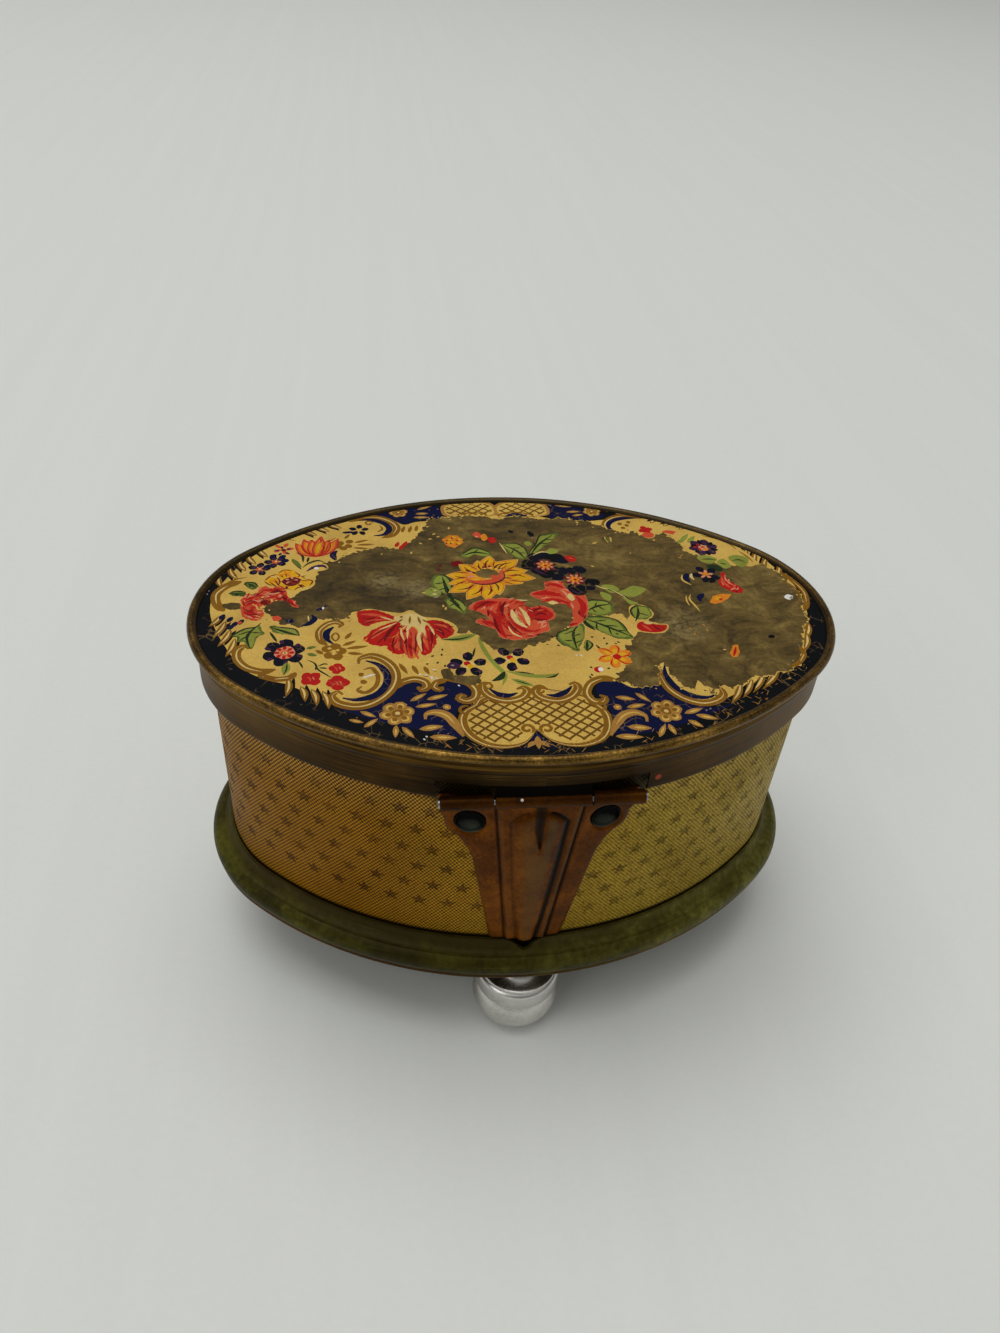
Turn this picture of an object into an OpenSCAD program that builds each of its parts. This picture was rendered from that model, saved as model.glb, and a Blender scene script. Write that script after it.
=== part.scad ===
// Oval metal trinket box with a hinged printed lid, standing on four turned feet.
// Frame: origin on the floor under the middle of the box, Z up, hinge side towards -Y.
// The plan of every ring and disc is one four-arc oval, set in or out by a distance.

/* [Lid] */
// Width of the lid over its rolled edge
lid_w = 120; // [104:1:150]
// Depth of the lid, hinge side to opening side
lid_d = 80.4; // [74:0.2:96]
// Radius of the two round ends of the oval
end_r = 27.7; // [24:0.1:32]
// Radius of the rolled edge
bead_r = 1.05; // [0.9:0.05:1.4]
// Depth of the skirt, from the middle of the rolled edge
skirt_h = 12.2; // [11.4:0.1:16]
// Sheet thickness of the lid's frame
lid_sheet = 0.5; // [0.35:0.05:0.6]
// Thickness of the printed panel
panel_t = 0.45; // [0.3:0.05:0.6]

/* [Wall] */
// Height of wall that shows between the skirt and the base
wall_show = 37.9; // [32:0.1:60]
// Sheet thickness of the wall
wall_t = 0.6; // [0.4:0.05:0.8]
// How far the wall stands inside the lid's outline
wall_in = 3; // [2.95:0.05:3.4]

/* [Base] */
// Height of the base moulding
rim_h = 7.5; // [6.5:0.1:10]
// How far the base moulding swells past the lid's outline
rim_out = 1.7; // [1.2:0.1:3]
// Sheet thickness of the moulding
rim_t = 0.7; // [0.5:0.05:0.9]
// Thickness of the bottom plate
pan_t = 0.8; // [0.6:0.05:1.2]

/* [Feet] */
// Height of the base moulding's lower edge above the floor
foot_h = 18.5; // [16:0.1:24]
// Greatest radius of a foot
foot_r = 8.6; // [7.6:0.1:10]
// How far the hinge-side and opening-side studs stand inside the wall
stud_in = 2.1; // [2.1:0.1:8]
// How far the end studs stand inside the wall
stud_end_in = 8.4; // [6:0.2:16]
// Radius of the foot's stud
stud_r = 1; // [0.8:0.05:1.1]

/* [Hinge] */
// Outer radius of the hinge barrel
barrel_r = 1.25; // [1.1:0.05:1.4]
// Radius of the hinge pin
pin_r = 0.6; // [0.5:0.02:0.7]
// Half length of the barrel
barrel_half = 17; // [16:0.1:20]
// Half length of the middle knuckle
middle_half = 7.95; // [6.5:0.05:8.5]
// Thickness of the hinge plate
plate_t = 0.7; // [0.5:0.05:0.8]
// How far the middles of the ears stand from the middle of the plate
ear_x = 11.6; // [11:0.1:12.5]
// Radius of the ear holes
ear_hole_r = 2.7; // [2.2:0.05:2.8]

/* [Lining] */
// Thickness of the floor board
board_t = 1.5; // [1:0.1:2.5]
// Thickness of the cloth on the floor board
cloth_t = 0.8; // [0.5:0.1:1.5]
// Thickness of the wall lining
liner_t = 1; // [0.6:0.1:1.6]

/* [Clearances] */
// Gap round the pin in the turning knuckle
run_gap = 0.05; // [0.03:0.01:0.1]
// Gap round parts that are pushed together
push_gap = 0.02; // [0.01:0.01:0.05]
// Gap between the ends of two knuckles
knuckle_gap = 0.3; // [0.25:0.05:0.5]
// Gap round a riveted or screwed part in its hole
hole_gap = 0.08; // [0.05:0.01:0.15]
// Gap left for the black line between wall and moulding
line_gap = 0.2; // [0.15:0.05:0.3]
// Gap between the closed lid's cloth and the wall's mouth
rest_gap = 0.3; // [0.2:0.05:0.6]

/* [View] */
// Which node to show, or all

/* [Hidden] */
$fn = 96;

// The four-arc oval
half_w = lid_w / 2;
half_d = lid_d / 2;
end_c = half_w - end_r;
side_r = (end_c * end_c + half_d * half_d - end_r * end_r) / (2 * (half_d - end_r));
side_c = side_r - half_d;
phi = atan2(side_c, end_c);
seam_gap = 0.0005;

// Heights
rim_top = foot_h + rim_h;
skirt_low = rim_top + wall_show;
bead_z = skirt_low + skirt_h;
panel_z = bead_z - 0.15;
ledge_t = lid_sheet;
ledge_in = 5;
card_t = 1.1;
card_in = ledge_in + 0.1;
lid_cloth_t = 0.7;
mouth_z = panel_z - card_t - lid_cloth_t - rest_gap;
pan_z = foot_h + 0.8;
pan_top = pan_z + pan_t;
flange_h = 5.4;
board_z = pan_z + flange_h;
board_top = board_z + board_t;

// Skirt
seat_down = 0.8 * bead_r;
skirt_in = bead_r + 0.05;
hem_r = 0.9;
skirt_inner = skirt_in + lid_sheet;

// Wall inside face and lining
wall_inner = wall_in + wall_t;
flange_in = wall_inner + 0.1;
flange_t = 0.6;
liner_in = wall_inner + 1.4;
foot_in = wall_inner + stud_in;
foot_end_in = wall_inner + stud_end_in;

// Hinge
pin_in = wall_in - barrel_r - 0.25;
pin_y = -(half_d - pin_in);
pin_z = skirt_low + 1.5;
plate_in = wall_in - plate_t;
ear_z = pin_z - 6.9;
ear_r = 4.3;
neck_x = ear_x - 0.8;
neck_z = ear_z - 8.4;
tail_z = rim_top + 0.3;
tail_x = 6.6;
plate_top = pin_z - barrel_r - 0.4;
outer_from = middle_half + knuckle_gap;
notch_half = barrel_half + 0.75;
notch_z = pin_z + barrel_r + 1.25;
ear_turn = asin(ear_x / (side_r - wall_in));
rivet_r = ear_hole_r - hole_gap;
leaf_up = 8;
leaf_t = 0.6;

// Feet
stud_hole = stud_r + hole_gap;
stud_deep = 10;
washer_t = 0.5;
washer_r = 1.75 * stud_r;
nut_t = 1.8 * stud_r;
past = 2;
notch_x = washer_r + 0.8;

// Shapes used by several pieces

// Points along an arc.
function arc(c, r, a0, a1, n) =
    [for (i = [0 : n]) [c[0] + r * cos(a0 + (a1 - a0) * i / n), c[1] + r * sin(a0 + (a1 - a0) * i / n)]];

// Sweeps a profile round the oval; x is the distance outside the lid's outline, y is height.
// The four sectors stop a hair short of each other, and a core ring joins them.
module sweep() {
    for (s = [-1, 1]) {
        translate([s * end_c, 0, 0])
            rotate([0, 0, (s > 0 ? -phi : 180 - phi) + seam_gap])
                rotate_extrude(angle = 2 * phi - 2 * seam_gap)
                    translate([end_r, 0]) children();
        translate([0, -s * side_c, 0])
            rotate([0, 0, s > 0 ? phi : 180 + phi])
                rotate_extrude(angle = 180 - 2 * phi)
                    translate([side_r, 0]) children();
    }
}

// The oval in plan, set in by a distance.
module oval(inset) {
    xt = (side_r - inset) * cos(phi);
    intersection() {
        translate([0, -side_c]) circle(r = side_r - inset);
        translate([0, side_c]) circle(r = side_r - inset);
        square([2 * xt, 2 * lid_d], center = true);
    }
    for (s = [-1, 1]) translate([s * end_c, 0]) circle(r = end_r - inset);
}

// A flat oval plate between two heights.
module plate(inset, z0, z1) {
    translate([0, 0, z0]) linear_extrude(height = z1 - z0) oval(inset);
}

// An upright oval ring between two insets and two heights.
module ring(d0, d1, z0, z1) {
    translate([0, 0, z0])
        linear_extrude(height = z1 - z0)
            difference() {
                oval(d0);
                oval(d1);
            }
}

// A strip of the hinge-side arc between two insets and two heights.
module back_strip(d0, d1, z0, z1) {
    translate([0, side_c, 0])
        rotate([0, 0, 180 + phi])
            rotate_extrude(angle = 180 - 2 * phi)
                translate([side_r - d1, z0]) square([d1 - d0, z1 - z0]);
}

// Carries an outline drawn in x and z through the hinge side of the box.
module back_cut() {
    rotate([90, 0, 0]) linear_extrude(height = lid_d) children();
}

// A round bar along the hinge line.
module bar(r, x0, x1) {
    translate([x0, pin_y, pin_z]) rotate([0, 90, 0]) cylinder(h = x1 - x0, r = r);
}

// Sets children on an ear's middle, with local z pointing out of the wall.
module at_ear(s) {
    translate([0, side_c, ear_z])
        rotate([0, 0, s * ear_turn])
            translate([0, -(side_r - plate_in), 0])
                rotate([90, 0, 0]) children();
}

// Sets children at the four feet.
module at_feet() {
    for (s = [-1, 1]) {
        translate([0, s * (half_d - foot_in), 0]) children();
        translate([s * (half_w - foot_end_in), 0, 0]) children();
    }
}

// Lid

// Printed sheet that fills the lid.
module lid_panel() {
    color([0.78, 0.66, 0.42]) plate(2 * bead_r + 0.05, panel_z, panel_z + panel_t);
}

// Half section of the lid's rim: rolled edge, flat underneath where the skirt meets it, and ledge.
module rim_roll_section() {
    bead = [-bead_r, bead_z];
    flat_a = asin(seat_down / bead_r);
    ledge_a = asin((bead_z - panel_z) / bead_r);
    polygon(concat(
        arc(bead, bead_r, -flat_a, 180 + ledge_a, 20),
        [[-ledge_in, panel_z], [-ledge_in, panel_z - ledge_t], [-1.65 * bead_r, panel_z - ledge_t],
            [-bead_r - bead_r * cos(flat_a), bead_z - seat_down]]));
}

// Rolled rim that holds the panel on its ledge.
module lid_rim() {
    color([0.7, 0.52, 0.2])
        union() {
            sweep() rim_roll_section();
            ring(1.3 * bead_r, ledge_in - 0.1, panel_z - 0.9 * ledge_t, panel_z - 0.1 * ledge_t);
        }
}

// Half section of the skirt: a band with a step line above and a turned hem below.
module skirt_section() {
    hem = [-skirt_in - hem_r, skirt_low + hem_r];
    step = [-skirt_in - 0.2, bead_z - 2.4];
    step_r = 0.45;
    step_a = acos(0.2 / step_r);
    polygon(concat(
        arc(hem, hem_r, -90, 0, 5),
        arc(step, step_r, -step_a, step_a, 6),
        [[-skirt_in, bead_z - seat_down], [-skirt_inner, bead_z - seat_down]],
        arc(hem, hem_r - lid_sheet, 0, -90, 4)));
}

// Skirt of the lid, notched over the hinge.
module lid_skirt() {
    color([0.4, 0.33, 0.14])
        difference() {
            union() {
                sweep() skirt_section();
                ring(skirt_in + 0.1, skirt_inner - 0.1, skirt_low + hem_r, bead_z - seat_down - 0.1);
            }
            translate([-notch_half, -half_d - 1, skirt_low - 1])
                cube([2 * notch_half, half_d / 2, notch_z - skirt_low + 1]);
        }
}

// Card that stiffens the panel, inside the ledge.
module lid_card() {
    color([0.6, 0.5, 0.38]) plate(card_in, panel_z - card_t, panel_z);
}

// Cloth on the card, reaching out over the wall's mouth.
module lid_lining() {
    color([0.36, 0.05, 0.08]) plate(skirt_inner + 0.7, panel_z - card_t - lid_cloth_t, panel_z - card_t);
}

// Hinge

// Lid's leaf: the middle knuckle and a plate soldered inside the skirt above the notch.
module lid_hinge_leaf() {
    color([0.42, 0.25, 0.11])
        difference() {
            union() {
                bar(barrel_r, -middle_half, middle_half);
                intersection() {
                    back_strip(skirt_inner, skirt_inner + leaf_t, pin_z, pin_z + leaf_up);
                    translate([-middle_half, -lid_d, 0]) cube([2 * middle_half, lid_d, 2 * bead_z]);
                }
            }
            bar(pin_r + run_gap, -barrel_half, barrel_half);
        }
}

// Pin through the three knuckles, with a low head at each end.
module hinge_pin() {
    color([0.5, 0.45, 0.38])
        union() {
            bar(pin_r, -barrel_half - 0.1, barrel_half + 0.1);
            bar(pin_r + 0.3, barrel_half, barrel_half + 0.3);
            bar(pin_r + 0.3, -barrel_half - 0.3, -barrel_half);
        }
}

// Outline of the body's leaf: two ears on a tapered tail.
module leaf_outline() {
    for (s = [-1, 1]) {
        translate([s * ear_x, ear_z]) circle(r = ear_r);
        polygon([[s * outer_from, plate_top], [s * outer_from, pin_z - 0.8], [s * barrel_half, pin_z - 0.8],
            [s * barrel_half, ear_z + 1.6], [s * (ear_x + ear_r - 0.1), ear_z], [s * outer_from, ear_z]]);
    }
    polygon([[-ear_x, plate_top], [-ear_x, ear_z], [-neck_x - 1.6, ear_z - ear_r + 0.5], [-neck_x, neck_z], [-tail_x, tail_z],
        [tail_x, tail_z], [neck_x, neck_z], [neck_x + 1.6, ear_z - ear_r + 0.5], [ear_x, ear_z], [ear_x, plate_top]]);
}

// Outline of the raised tongue down the middle of the leaf.
module tongue_outline(extra) {
    low = tail_z + 0.25;
    high = plate_top - 0.2;
    polygon([[-6.9 - extra, high], [-3.5 - extra, low], [3.5 + extra, low], [6.9 + extra, high]]);
}

// Outline of the bud on the tongue: two lobes with a cleft, running down to a narrow end.
module bud_outline(k) {
    bud_z = ear_z - 0.4;
    low = tail_z + 0.5 + k;
    for (s = [-1, 1]) translate([s * 2.4, bud_z]) circle(r = 2.1 - k);
    polygon([[-4.1 + 1.15 * k, bud_z - 0.7], [-1.7 + 0.7 * k, low], [1.7 - 0.7 * k, low], [4.1 - 1.15 * k, bud_z - 0.7],
        [1.3 + 0.8 * k, bud_z - 0.9], [0, bud_z - 3.4 - k], [-1.3 - 0.8 * k, bud_z - 0.9]]);
}

// Body's leaf: curved plate with ears, tongue and bud, and the two outer knuckles.
module body_hinge_leaf() {
    color([0.42, 0.25, 0.11])
        difference() {
            union() {
                intersection() {
                    back_strip(plate_in, wall_in, tail_z - 1, pin_z);
                    back_cut() leaf_outline();
                }
                intersection() {
                    back_strip(plate_in - 0.3, plate_in + 0.2, tail_z - 1, pin_z);
                    back_cut() tongue_outline(0);
                }
                intersection() {
                    back_strip(plate_in - 0.75, plate_in + 0.25, tail_z - 1, pin_z);
                    back_cut() bud_outline(0);
                }
                intersection() {
                    back_strip(plate_in - 1.15, plate_in + 0.3, tail_z - 1, pin_z);
                    back_cut() bud_outline(0.75);
                }
                for (s = [-1, 1]) {
                    bar(barrel_r, s > 0 ? outer_from : -barrel_half, s > 0 ? barrel_half : -outer_from);
                    difference() {
                        translate([s > 0 ? outer_from : -barrel_half, 0, 0])
                            rotate([90, 0, 90])
                                linear_extrude(height = barrel_half - outer_from)
                                    polygon([[pin_y + barrel_r - 0.75, pin_z], [pin_y + barrel_r - 0.08, pin_z],
                                        [pin_y + 3.6, pin_z - 3.4], [pin_y + 3.1, pin_z - 4.2]]);
                        plate(wall_in, pin_z - 6, pin_z + 2);
                    }
                }
            }
            bar(pin_r + push_gap / 2, -barrel_half - 1, barrel_half + 1);
            for (s = [-1, 1]) at_ear(s) translate([0, 0, -3]) cylinder(h = 9, r = ear_hole_r);
        }
}

// Dished rivets in the ears, each with a set head inside the wall.
module hinge_rivets() {
    color([0.2, 0.22, 0.25])
        for (s = [-1, 1])
            at_ear(s)
                difference() {
                    union() {
                        translate([0, 0, -plate_t - wall_t - 1.1]) cylinder(h = plate_t + wall_t + 1, r = rivet_r);
                        translate([0, 0, -plate_t - wall_t - 0.65]) cylinder(h = 0.5, r = ear_hole_r + 0.7);
                    }
                    translate([0, 0, 1]) sphere(r = 2.9);
                }
}

// Body

// Wall of patterned sheet, folded in at its upper edge.
module side_wall() {
    color([0.62, 0.48, 0.16])
        difference() {
            union() {
                ring(wall_in, wall_inner, pan_top, mouth_z);
                ring(wall_in + 0.1, wall_inner + 0.45, mouth_z - 1.2, mouth_z - 0.1);
            }
            for (s = [-1, 1]) at_ear(s) translate([0, 0, -4]) cylinder(h = 9, r = ear_hole_r);
        }
}

// Cloth-covered strip that stands inside the wall.
module wall_lining() {
    color([0.36, 0.05, 0.08]) ring(liner_in, liner_in + liner_t, board_top, mouth_z - 1.6);
}

// Board that the floor cloth is glued to, lying on the pan's flange.
module floor_board() {
    color([0.6, 0.5, 0.38]) plate(wall_inner + 0.15, board_z, board_top);
}

module floor_cloth() {
    color([0.36, 0.05, 0.08]) plate(liner_in + liner_t + 0.1, board_top, board_top + cloth_t);
}

// Base moulding: a cove above a swelling and a small bead, with a turned-in ledge.
module rim_section() {
    cove_r = 2.4;
    cove = [-wall_in + line_gap + rim_t + cove_r, rim_top];
    swell_r = (rim_h - cove_r) / 2 + 0.05;
    swell = [rim_out - swell_r, foot_h + swell_r];
    start_a = acos((cove[0] - swell[0]) / swell_r);
    inner_r = swell_r - rim_t;
    ledge_a = asin(min(0.97, (swell_r - 0.8) / inner_r));
    polygon(concat(
        arc(cove, cove_r, 180, 270, 8),
        arc(swell, swell_r, start_a, -34, 12),
        arc([rim_out - 0.95, foot_h + 0.6], 0.6, 40, -100, 8),
        [[rim_out - 1.3, foot_h + 0.2], [-1.2, foot_h + 0.2], [-1.2, foot_h + 0.8]],
        arc(swell, inner_r, -ledge_a, start_a, 8),
        arc(cove, cove_r + rim_t, 262, 180, 6)));
}

module base_rim() {
    color([0.35, 0.36, 0.12])
        difference() {
            union() {
                sweep() rim_section();
                ring(-0.4, 1.1, foot_h + 0.3, foot_h + 0.7);
            }
            back_cut_from_rim();
        }
}

// Dip in the cove under the hinge's tail.
module back_cut_from_rim() {
    translate([0, -half_d + wall_in + 1, 0])
        rotate([90, 0, 0])
            linear_extrude(height = wall_in + 1 + 0.4)
                polygon([[-3.6, rim_top + 1], [-3.2, rim_top - 0.4], [-0.7, rim_top - 2.1], [0.7, rim_top - 2.1],
                    [3.2, rim_top - 0.4], [3.6, rim_top + 1]]);
}

// Bottom plate with a flange that stands inside the wall, cut away beside the studs.
module base_pan() {
    color([0.4, 0.36, 0.24])
        difference() {
            union() {
                plate(0.35, pan_z, pan_top);
                ring(flange_in, flange_in + flange_t, pan_top - 0.3, board_z);
            }
            at_feet() translate([0, 0, pan_z - past]) cylinder(h = pan_t + 2 * past, r = stud_hole);
            at_feet() translate([-notch_x, -notch_x, pan_top]) cube([2 * notch_x, 2 * notch_x, flange_h]);
        }
}

// Feet

// Half section of a foot: flattened ball, groove, band, groove, collar and hollow neck.
module foot_section() {
    ball_r = 5.4;
    belt_z = 9;
    band_z = 13.7;
    neck_r = 4.1;
    difference() {
        union() {
            intersection() {
                translate([foot_r - ball_r, ball_r]) circle(r = ball_r);
                square([foot_r, belt_z]);
            }
            square([foot_r - ball_r, belt_z]);
            polygon([[0, ball_r], [foot_r, ball_r], [foot_r - 0.25, belt_z - 0.25], [foot_r - 0.5, belt_z], [0, belt_z]]);
            translate([0, ball_r]) square([foot_r - 0.95, band_z + 0.5 - ball_r]);
            intersection() {
                translate([foot_r - 0.15 - 9, (belt_z + band_z + 0.35) / 2]) circle(r = 9);
                translate([0, belt_z + 0.35]) square([foot_r, band_z - belt_z - 0.35]);
            }
            translate([0, band_z + 0.35]) square([foot_r - 0.75, 0.8]);
            translate([0, ball_r]) square([neck_r + 3.1, pan_z - 1.2 - ball_r]);
            translate([0, ball_r]) square([neck_r, pan_z - ball_r]);
        }
        translate([neck_r + 3.1, band_z + 4.15]) circle(r = 3);
        translate([neck_r, pan_z - 1.4]) square([9, 3]);
    }
}

module foot() {
    color([0.75, 0.75, 0.73])
        difference() {
            rotate_extrude() foot_section();
            translate([0, 0, pan_z - stud_deep]) cylinder(h = stud_deep + past, r = stud_hole);
        }
}

module foot_back() {
    translate([0, -(half_d - foot_in), 0]) foot();
}

module foot_front() {
    translate([0, half_d - foot_in, 0]) foot();
}

module foot_left() {
    translate([-(half_w - foot_end_in), 0, 0]) foot();
}

module foot_right() {
    translate([half_w - foot_end_in, 0, 0]) foot();
}

module foot_studs() {
    color([0.6, 0.6, 0.6])
        at_feet()
            translate([0, 0, pan_z - stud_deep])
                cylinder(h = stud_deep + pan_t + washer_t + nut_t + 0.3 * stud_r, r = stud_r);
}

module foot_washers() {
    color([0.6, 0.6, 0.6])
        at_feet()
            translate([0, 0, pan_top])
                difference() {
                    cylinder(h = washer_t, r = washer_r);
                    translate([0, 0, -past]) cylinder(h = washer_t + 2 * past, r = stud_hole);
                }
}

module foot_nuts() {
    color([0.65, 0.6, 0.45])
        at_feet()
            translate([0, 0, pan_top + washer_t])
                difference() {
                    cylinder(h = nut_t, r = washer_r, $fn = 6);
                    translate([0, 0, -past]) cylinder(h = nut_t + 2 * past, r = stud_hole);
                }
}

lid_panel();
lid_rim();
lid_skirt();
lid_card();
lid_lining();
lid_hinge_leaf();
hinge_pin();
body_hinge_leaf();
hinge_rivets();
side_wall();
wall_lining();
floor_board();
floor_cloth();
base_rim();
base_pan();
foot_back();
foot_front();
foot_left();
foot_right();
foot_studs();
foot_washers();
foot_nuts();
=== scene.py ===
"""Looks of an oval metal trinket box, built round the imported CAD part.

Sizes are in millimetres until mesh() turns them into metres; materials work in metres.
"""

import math
import random
from contextlib import contextmanager

import bmesh
import bpy
import numpy as np
from mathutils import Matrix, Vector, geometry, noise

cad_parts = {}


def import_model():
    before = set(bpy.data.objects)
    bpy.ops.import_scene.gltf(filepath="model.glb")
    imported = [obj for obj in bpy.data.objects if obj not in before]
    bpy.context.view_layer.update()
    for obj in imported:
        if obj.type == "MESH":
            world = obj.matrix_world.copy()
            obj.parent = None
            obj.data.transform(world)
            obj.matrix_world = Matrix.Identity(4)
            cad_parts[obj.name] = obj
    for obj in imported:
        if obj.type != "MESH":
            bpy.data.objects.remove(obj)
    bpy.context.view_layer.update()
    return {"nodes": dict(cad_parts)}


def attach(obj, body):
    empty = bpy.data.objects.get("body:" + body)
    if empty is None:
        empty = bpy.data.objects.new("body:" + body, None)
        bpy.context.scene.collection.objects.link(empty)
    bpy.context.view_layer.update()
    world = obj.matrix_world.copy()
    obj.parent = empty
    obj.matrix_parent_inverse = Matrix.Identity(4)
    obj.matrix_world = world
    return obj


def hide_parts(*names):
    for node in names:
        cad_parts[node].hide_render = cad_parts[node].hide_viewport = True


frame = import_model()

# Sizes; the lid's edge is drawn lower and slimmer than its solid
MM = 0.001
HALF_W = 60.0
HALF_D = 40.2
END_R = 27.7
BEAD_R = 0.88
BEAD_Z = 75.15
PANEL_Z = 75.15
PANEL_TOP = 75.45
PANEL_IN = 1.81
SKIRT_IN = 1.1
SKIRT_T = 0.5
SKIRT_LOW = 64.7
SKIRT_TOP = BEAD_Z - 0.8 * BEAD_R
WALL_IN = 3.0
RIM_TOP = 26.0
RIM_OUT = 1.675
FOOT_H = 18.5
PAN_TOP = 20.1
BOARD_TOP = 26.2
CARD_LOW = 74.85
PIN_Y = -38.7
PIN_Z = 65.4
BARREL_R = 1.25
BORE_R = 0.65
MID_HALF = 7.95
PLATE_IN = 2.3
EAR_X = 11.6
EAR_Z = 58.5
TAIL_Z = 26.3
NOTCH_HALF = 17.75
NOTCH_Z = 69.0
FEET = {"back": (0.0, -34.5), "front": (0.0, 34.5), "left": (-48.0, 0.0), "right": (48.0, 0.0)}

# Plan of the oval: four arcs, the one on the hinge side in two halves
END_C = HALF_W - END_R
SIDE_R = (END_C**2 + HALF_D**2 - END_R**2) / (2 * (HALF_D - END_R))
SIDE_C = SIDE_R - HALF_D
PHI = math.atan2(SIDE_C, END_C)
QUARTER = math.pi / 2
ARCS = [
    (0.0, SIDE_C, SIDE_R, -QUARTER, -PHI),
    (END_C, 0.0, END_R, -PHI, PHI),
    (0.0, -SIDE_C, SIDE_R, PHI, math.pi - PHI),
    (-END_C, 0.0, END_R, math.pi - PHI, math.pi + PHI),
    (0.0, SIDE_C, SIDE_R, math.pi + PHI, 3 * QUARTER),
]


def oval_stations(step):
    """Places round the oval, anticlockwise from the middle of the hinge side.

    Each row holds an arc's centre x and y, its radius, and the angle.
    """
    rows = []
    for cx, cy, radius, start, end in ARCS:
        count = max(2, int(round(radius * (end - start) / step)))
        for i in range(count):
            rows.append((cx, cy, radius, start + (end - start) * i / count))
    return np.array(rows)


def stations_at(run, inset):
    """Rows for running lengths measured along the oval at an inset."""
    arcs = np.array(ARCS)
    lengths = (arcs[:, 2] - inset) * (arcs[:, 4] - arcs[:, 3])
    ends = np.cumsum(lengths)
    run = np.mod(np.asarray(run, float), ends[-1])
    k = np.minimum(np.searchsorted(ends, run, side="right"), 4)
    angle = arcs[k, 3] + (run - ends[k] + lengths[k]) / (arcs[k, 2] - inset)
    return np.stack([arcs[k, 0], arcs[k, 1], arcs[k, 2], angle], 1)


def oval_length(inset):
    """Length of the oval at an inset."""
    return sum((r - inset) * (b - a) for _, _, r, a, b in ARCS)


def place(rows, inset):
    """x and y of the stations at a distance inside the lid's outline."""
    radius = rows[:, 2] - inset
    x = rows[:, 0] + radius * np.cos(rows[:, 3])
    y = rows[:, 1] + radius * np.sin(rows[:, 3])
    return np.stack([x, y], 1)


def outside(row):
    """The outward direction at a station."""
    return np.array([math.cos(row[3]), math.sin(row[3])])


def arc_length(rows):
    """Running length at each station along the outline, and the whole way round."""
    p = place(rows, 0.0)
    steps = np.linalg.norm(np.roll(p, -1, 0) - p, axis=1)
    return np.concatenate([[0], np.cumsum(steps)])


def on_hinge_side(x, inset):
    """y on the hinge-side arc at that x."""
    return SIDE_C - np.sqrt((SIDE_R - inset) ** 2 - np.asarray(x, float) ** 2)


def inside_oval(x, y, inset):
    """True where a point lies inside the oval set in by a distance."""
    x, y = np.abs(x), np.abs(y)
    on_end = y * END_C < SIDE_C * (x - END_C)
    end = np.hypot(x - END_C, y) <= END_R - inset
    side = np.hypot(x, y + SIDE_C) <= SIDE_R - inset
    return np.where(on_end, end, side)


def rough(x, y, z):
    """Smooth noise between about -1 and 1."""
    return noise.noise(Vector((x, y, z)))


# Mesh making

@contextmanager
def editing(data):
    """A mesh opened for editing and written back."""
    bm = bmesh.new()
    bm.from_mesh(data)
    yield bm
    bm.to_mesh(data)
    bm.free()


def mesh(name, points, faces, sharp=35.0, smooth=True):
    """An object from points in millimetres."""
    data = bpy.data.meshes.new(name)
    rows = np.asarray(points, float) * MM
    data.from_pydata([tuple(p) for p in rows], [], [tuple(int(i) for i in f) for f in faces])
    data.update()
    obj = bpy.data.objects.new(name, data)
    bpy.context.scene.collection.objects.link(obj)
    if smooth:
        shade_smooth(data, sharp)
    return obj


def shade_smooth(data, angle):
    """Smooth faces, with a crisp edge wherever the surface turns by more than an angle."""
    data.polygons.foreach_set("use_smooth", np.ones(len(data.polygons), bool))
    mark_sharp(data, angle)


def mark_sharp(data, angle):
    """Edges that turn by more than an angle are shown as edges."""
    with editing(data) as bm:
        for edge in bm.edges:
            flat = edge.calc_face_angle(0.0) < math.radians(angle)
            edge.smooth = len(edge.link_faces) == 2 and flat


def outward(obj):
    """Turns every face of a closed mesh outwards."""
    with editing(obj.data) as bm:
        bmesh.ops.recalc_face_normals(bm, faces=bm.faces)
    return obj


def unroll(obj, uvs):
    """Stores a flat place in metres for each face corner, for materials that follow the sheet."""
    layer = obj.data.uv_layers.new(name="unrolled")
    layer.data.foreach_set("uv", np.array(uvs, np.float32).ravel())


def arc(cx, cy, radius, start, end, count):
    """Points along an arc, angles in degrees."""
    angles = [math.radians(start + (end - start) * i / count) for i in range(count + 1)]
    return [(cx + radius * math.cos(a), cy + radius * math.sin(a)) for a in angles]


def ring_faces(rings, count, closed=False):
    """Quads between neighbouring rings of points, and from the last to the first where closed."""
    faces = []
    for i in range(rings if closed else rings - 1):
        k = (i + 1) % rings
        for j in range(count):
            m = (j + 1) % count
            faces.append((i * count + j, k * count + j, k * count + m, i * count + m))
    return faces


def swept(name, section, step=1.0, bend=None, sharp=35.0):
    """Sweeps a closed section round the oval; bend may move the points.

    Section points are (distance outside the lid's outline, height).
    """
    rows = oval_stations(step)
    n, m = len(rows), len(section)
    run = arc_length(rows)
    ring = np.array(section + section[:1], float)
    along = np.concatenate([[0], np.cumsum(np.linalg.norm(np.diff(ring, axis=0), axis=1))])
    points = np.zeros((n, m, 3))
    for j, (out, z) in enumerate(section):
        points[:, j, :2] = place(rows, -out)
        points[:, j, 2] = z
    if bend is not None:
        bend(points, rows)
    uvs = []
    for u0, u1 in zip(run, run[1:]):
        for v0, v1 in zip(along, along[1:]):
            uvs += [(u0, v0), (u1, v0), (u1, v1), (u0, v1)]
    obj = mesh(name, points.reshape(-1, 3), ring_faces(n, m, True), sharp=sharp)
    unroll(obj, np.array(uvs, np.float32) * MM)
    return obj


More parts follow.
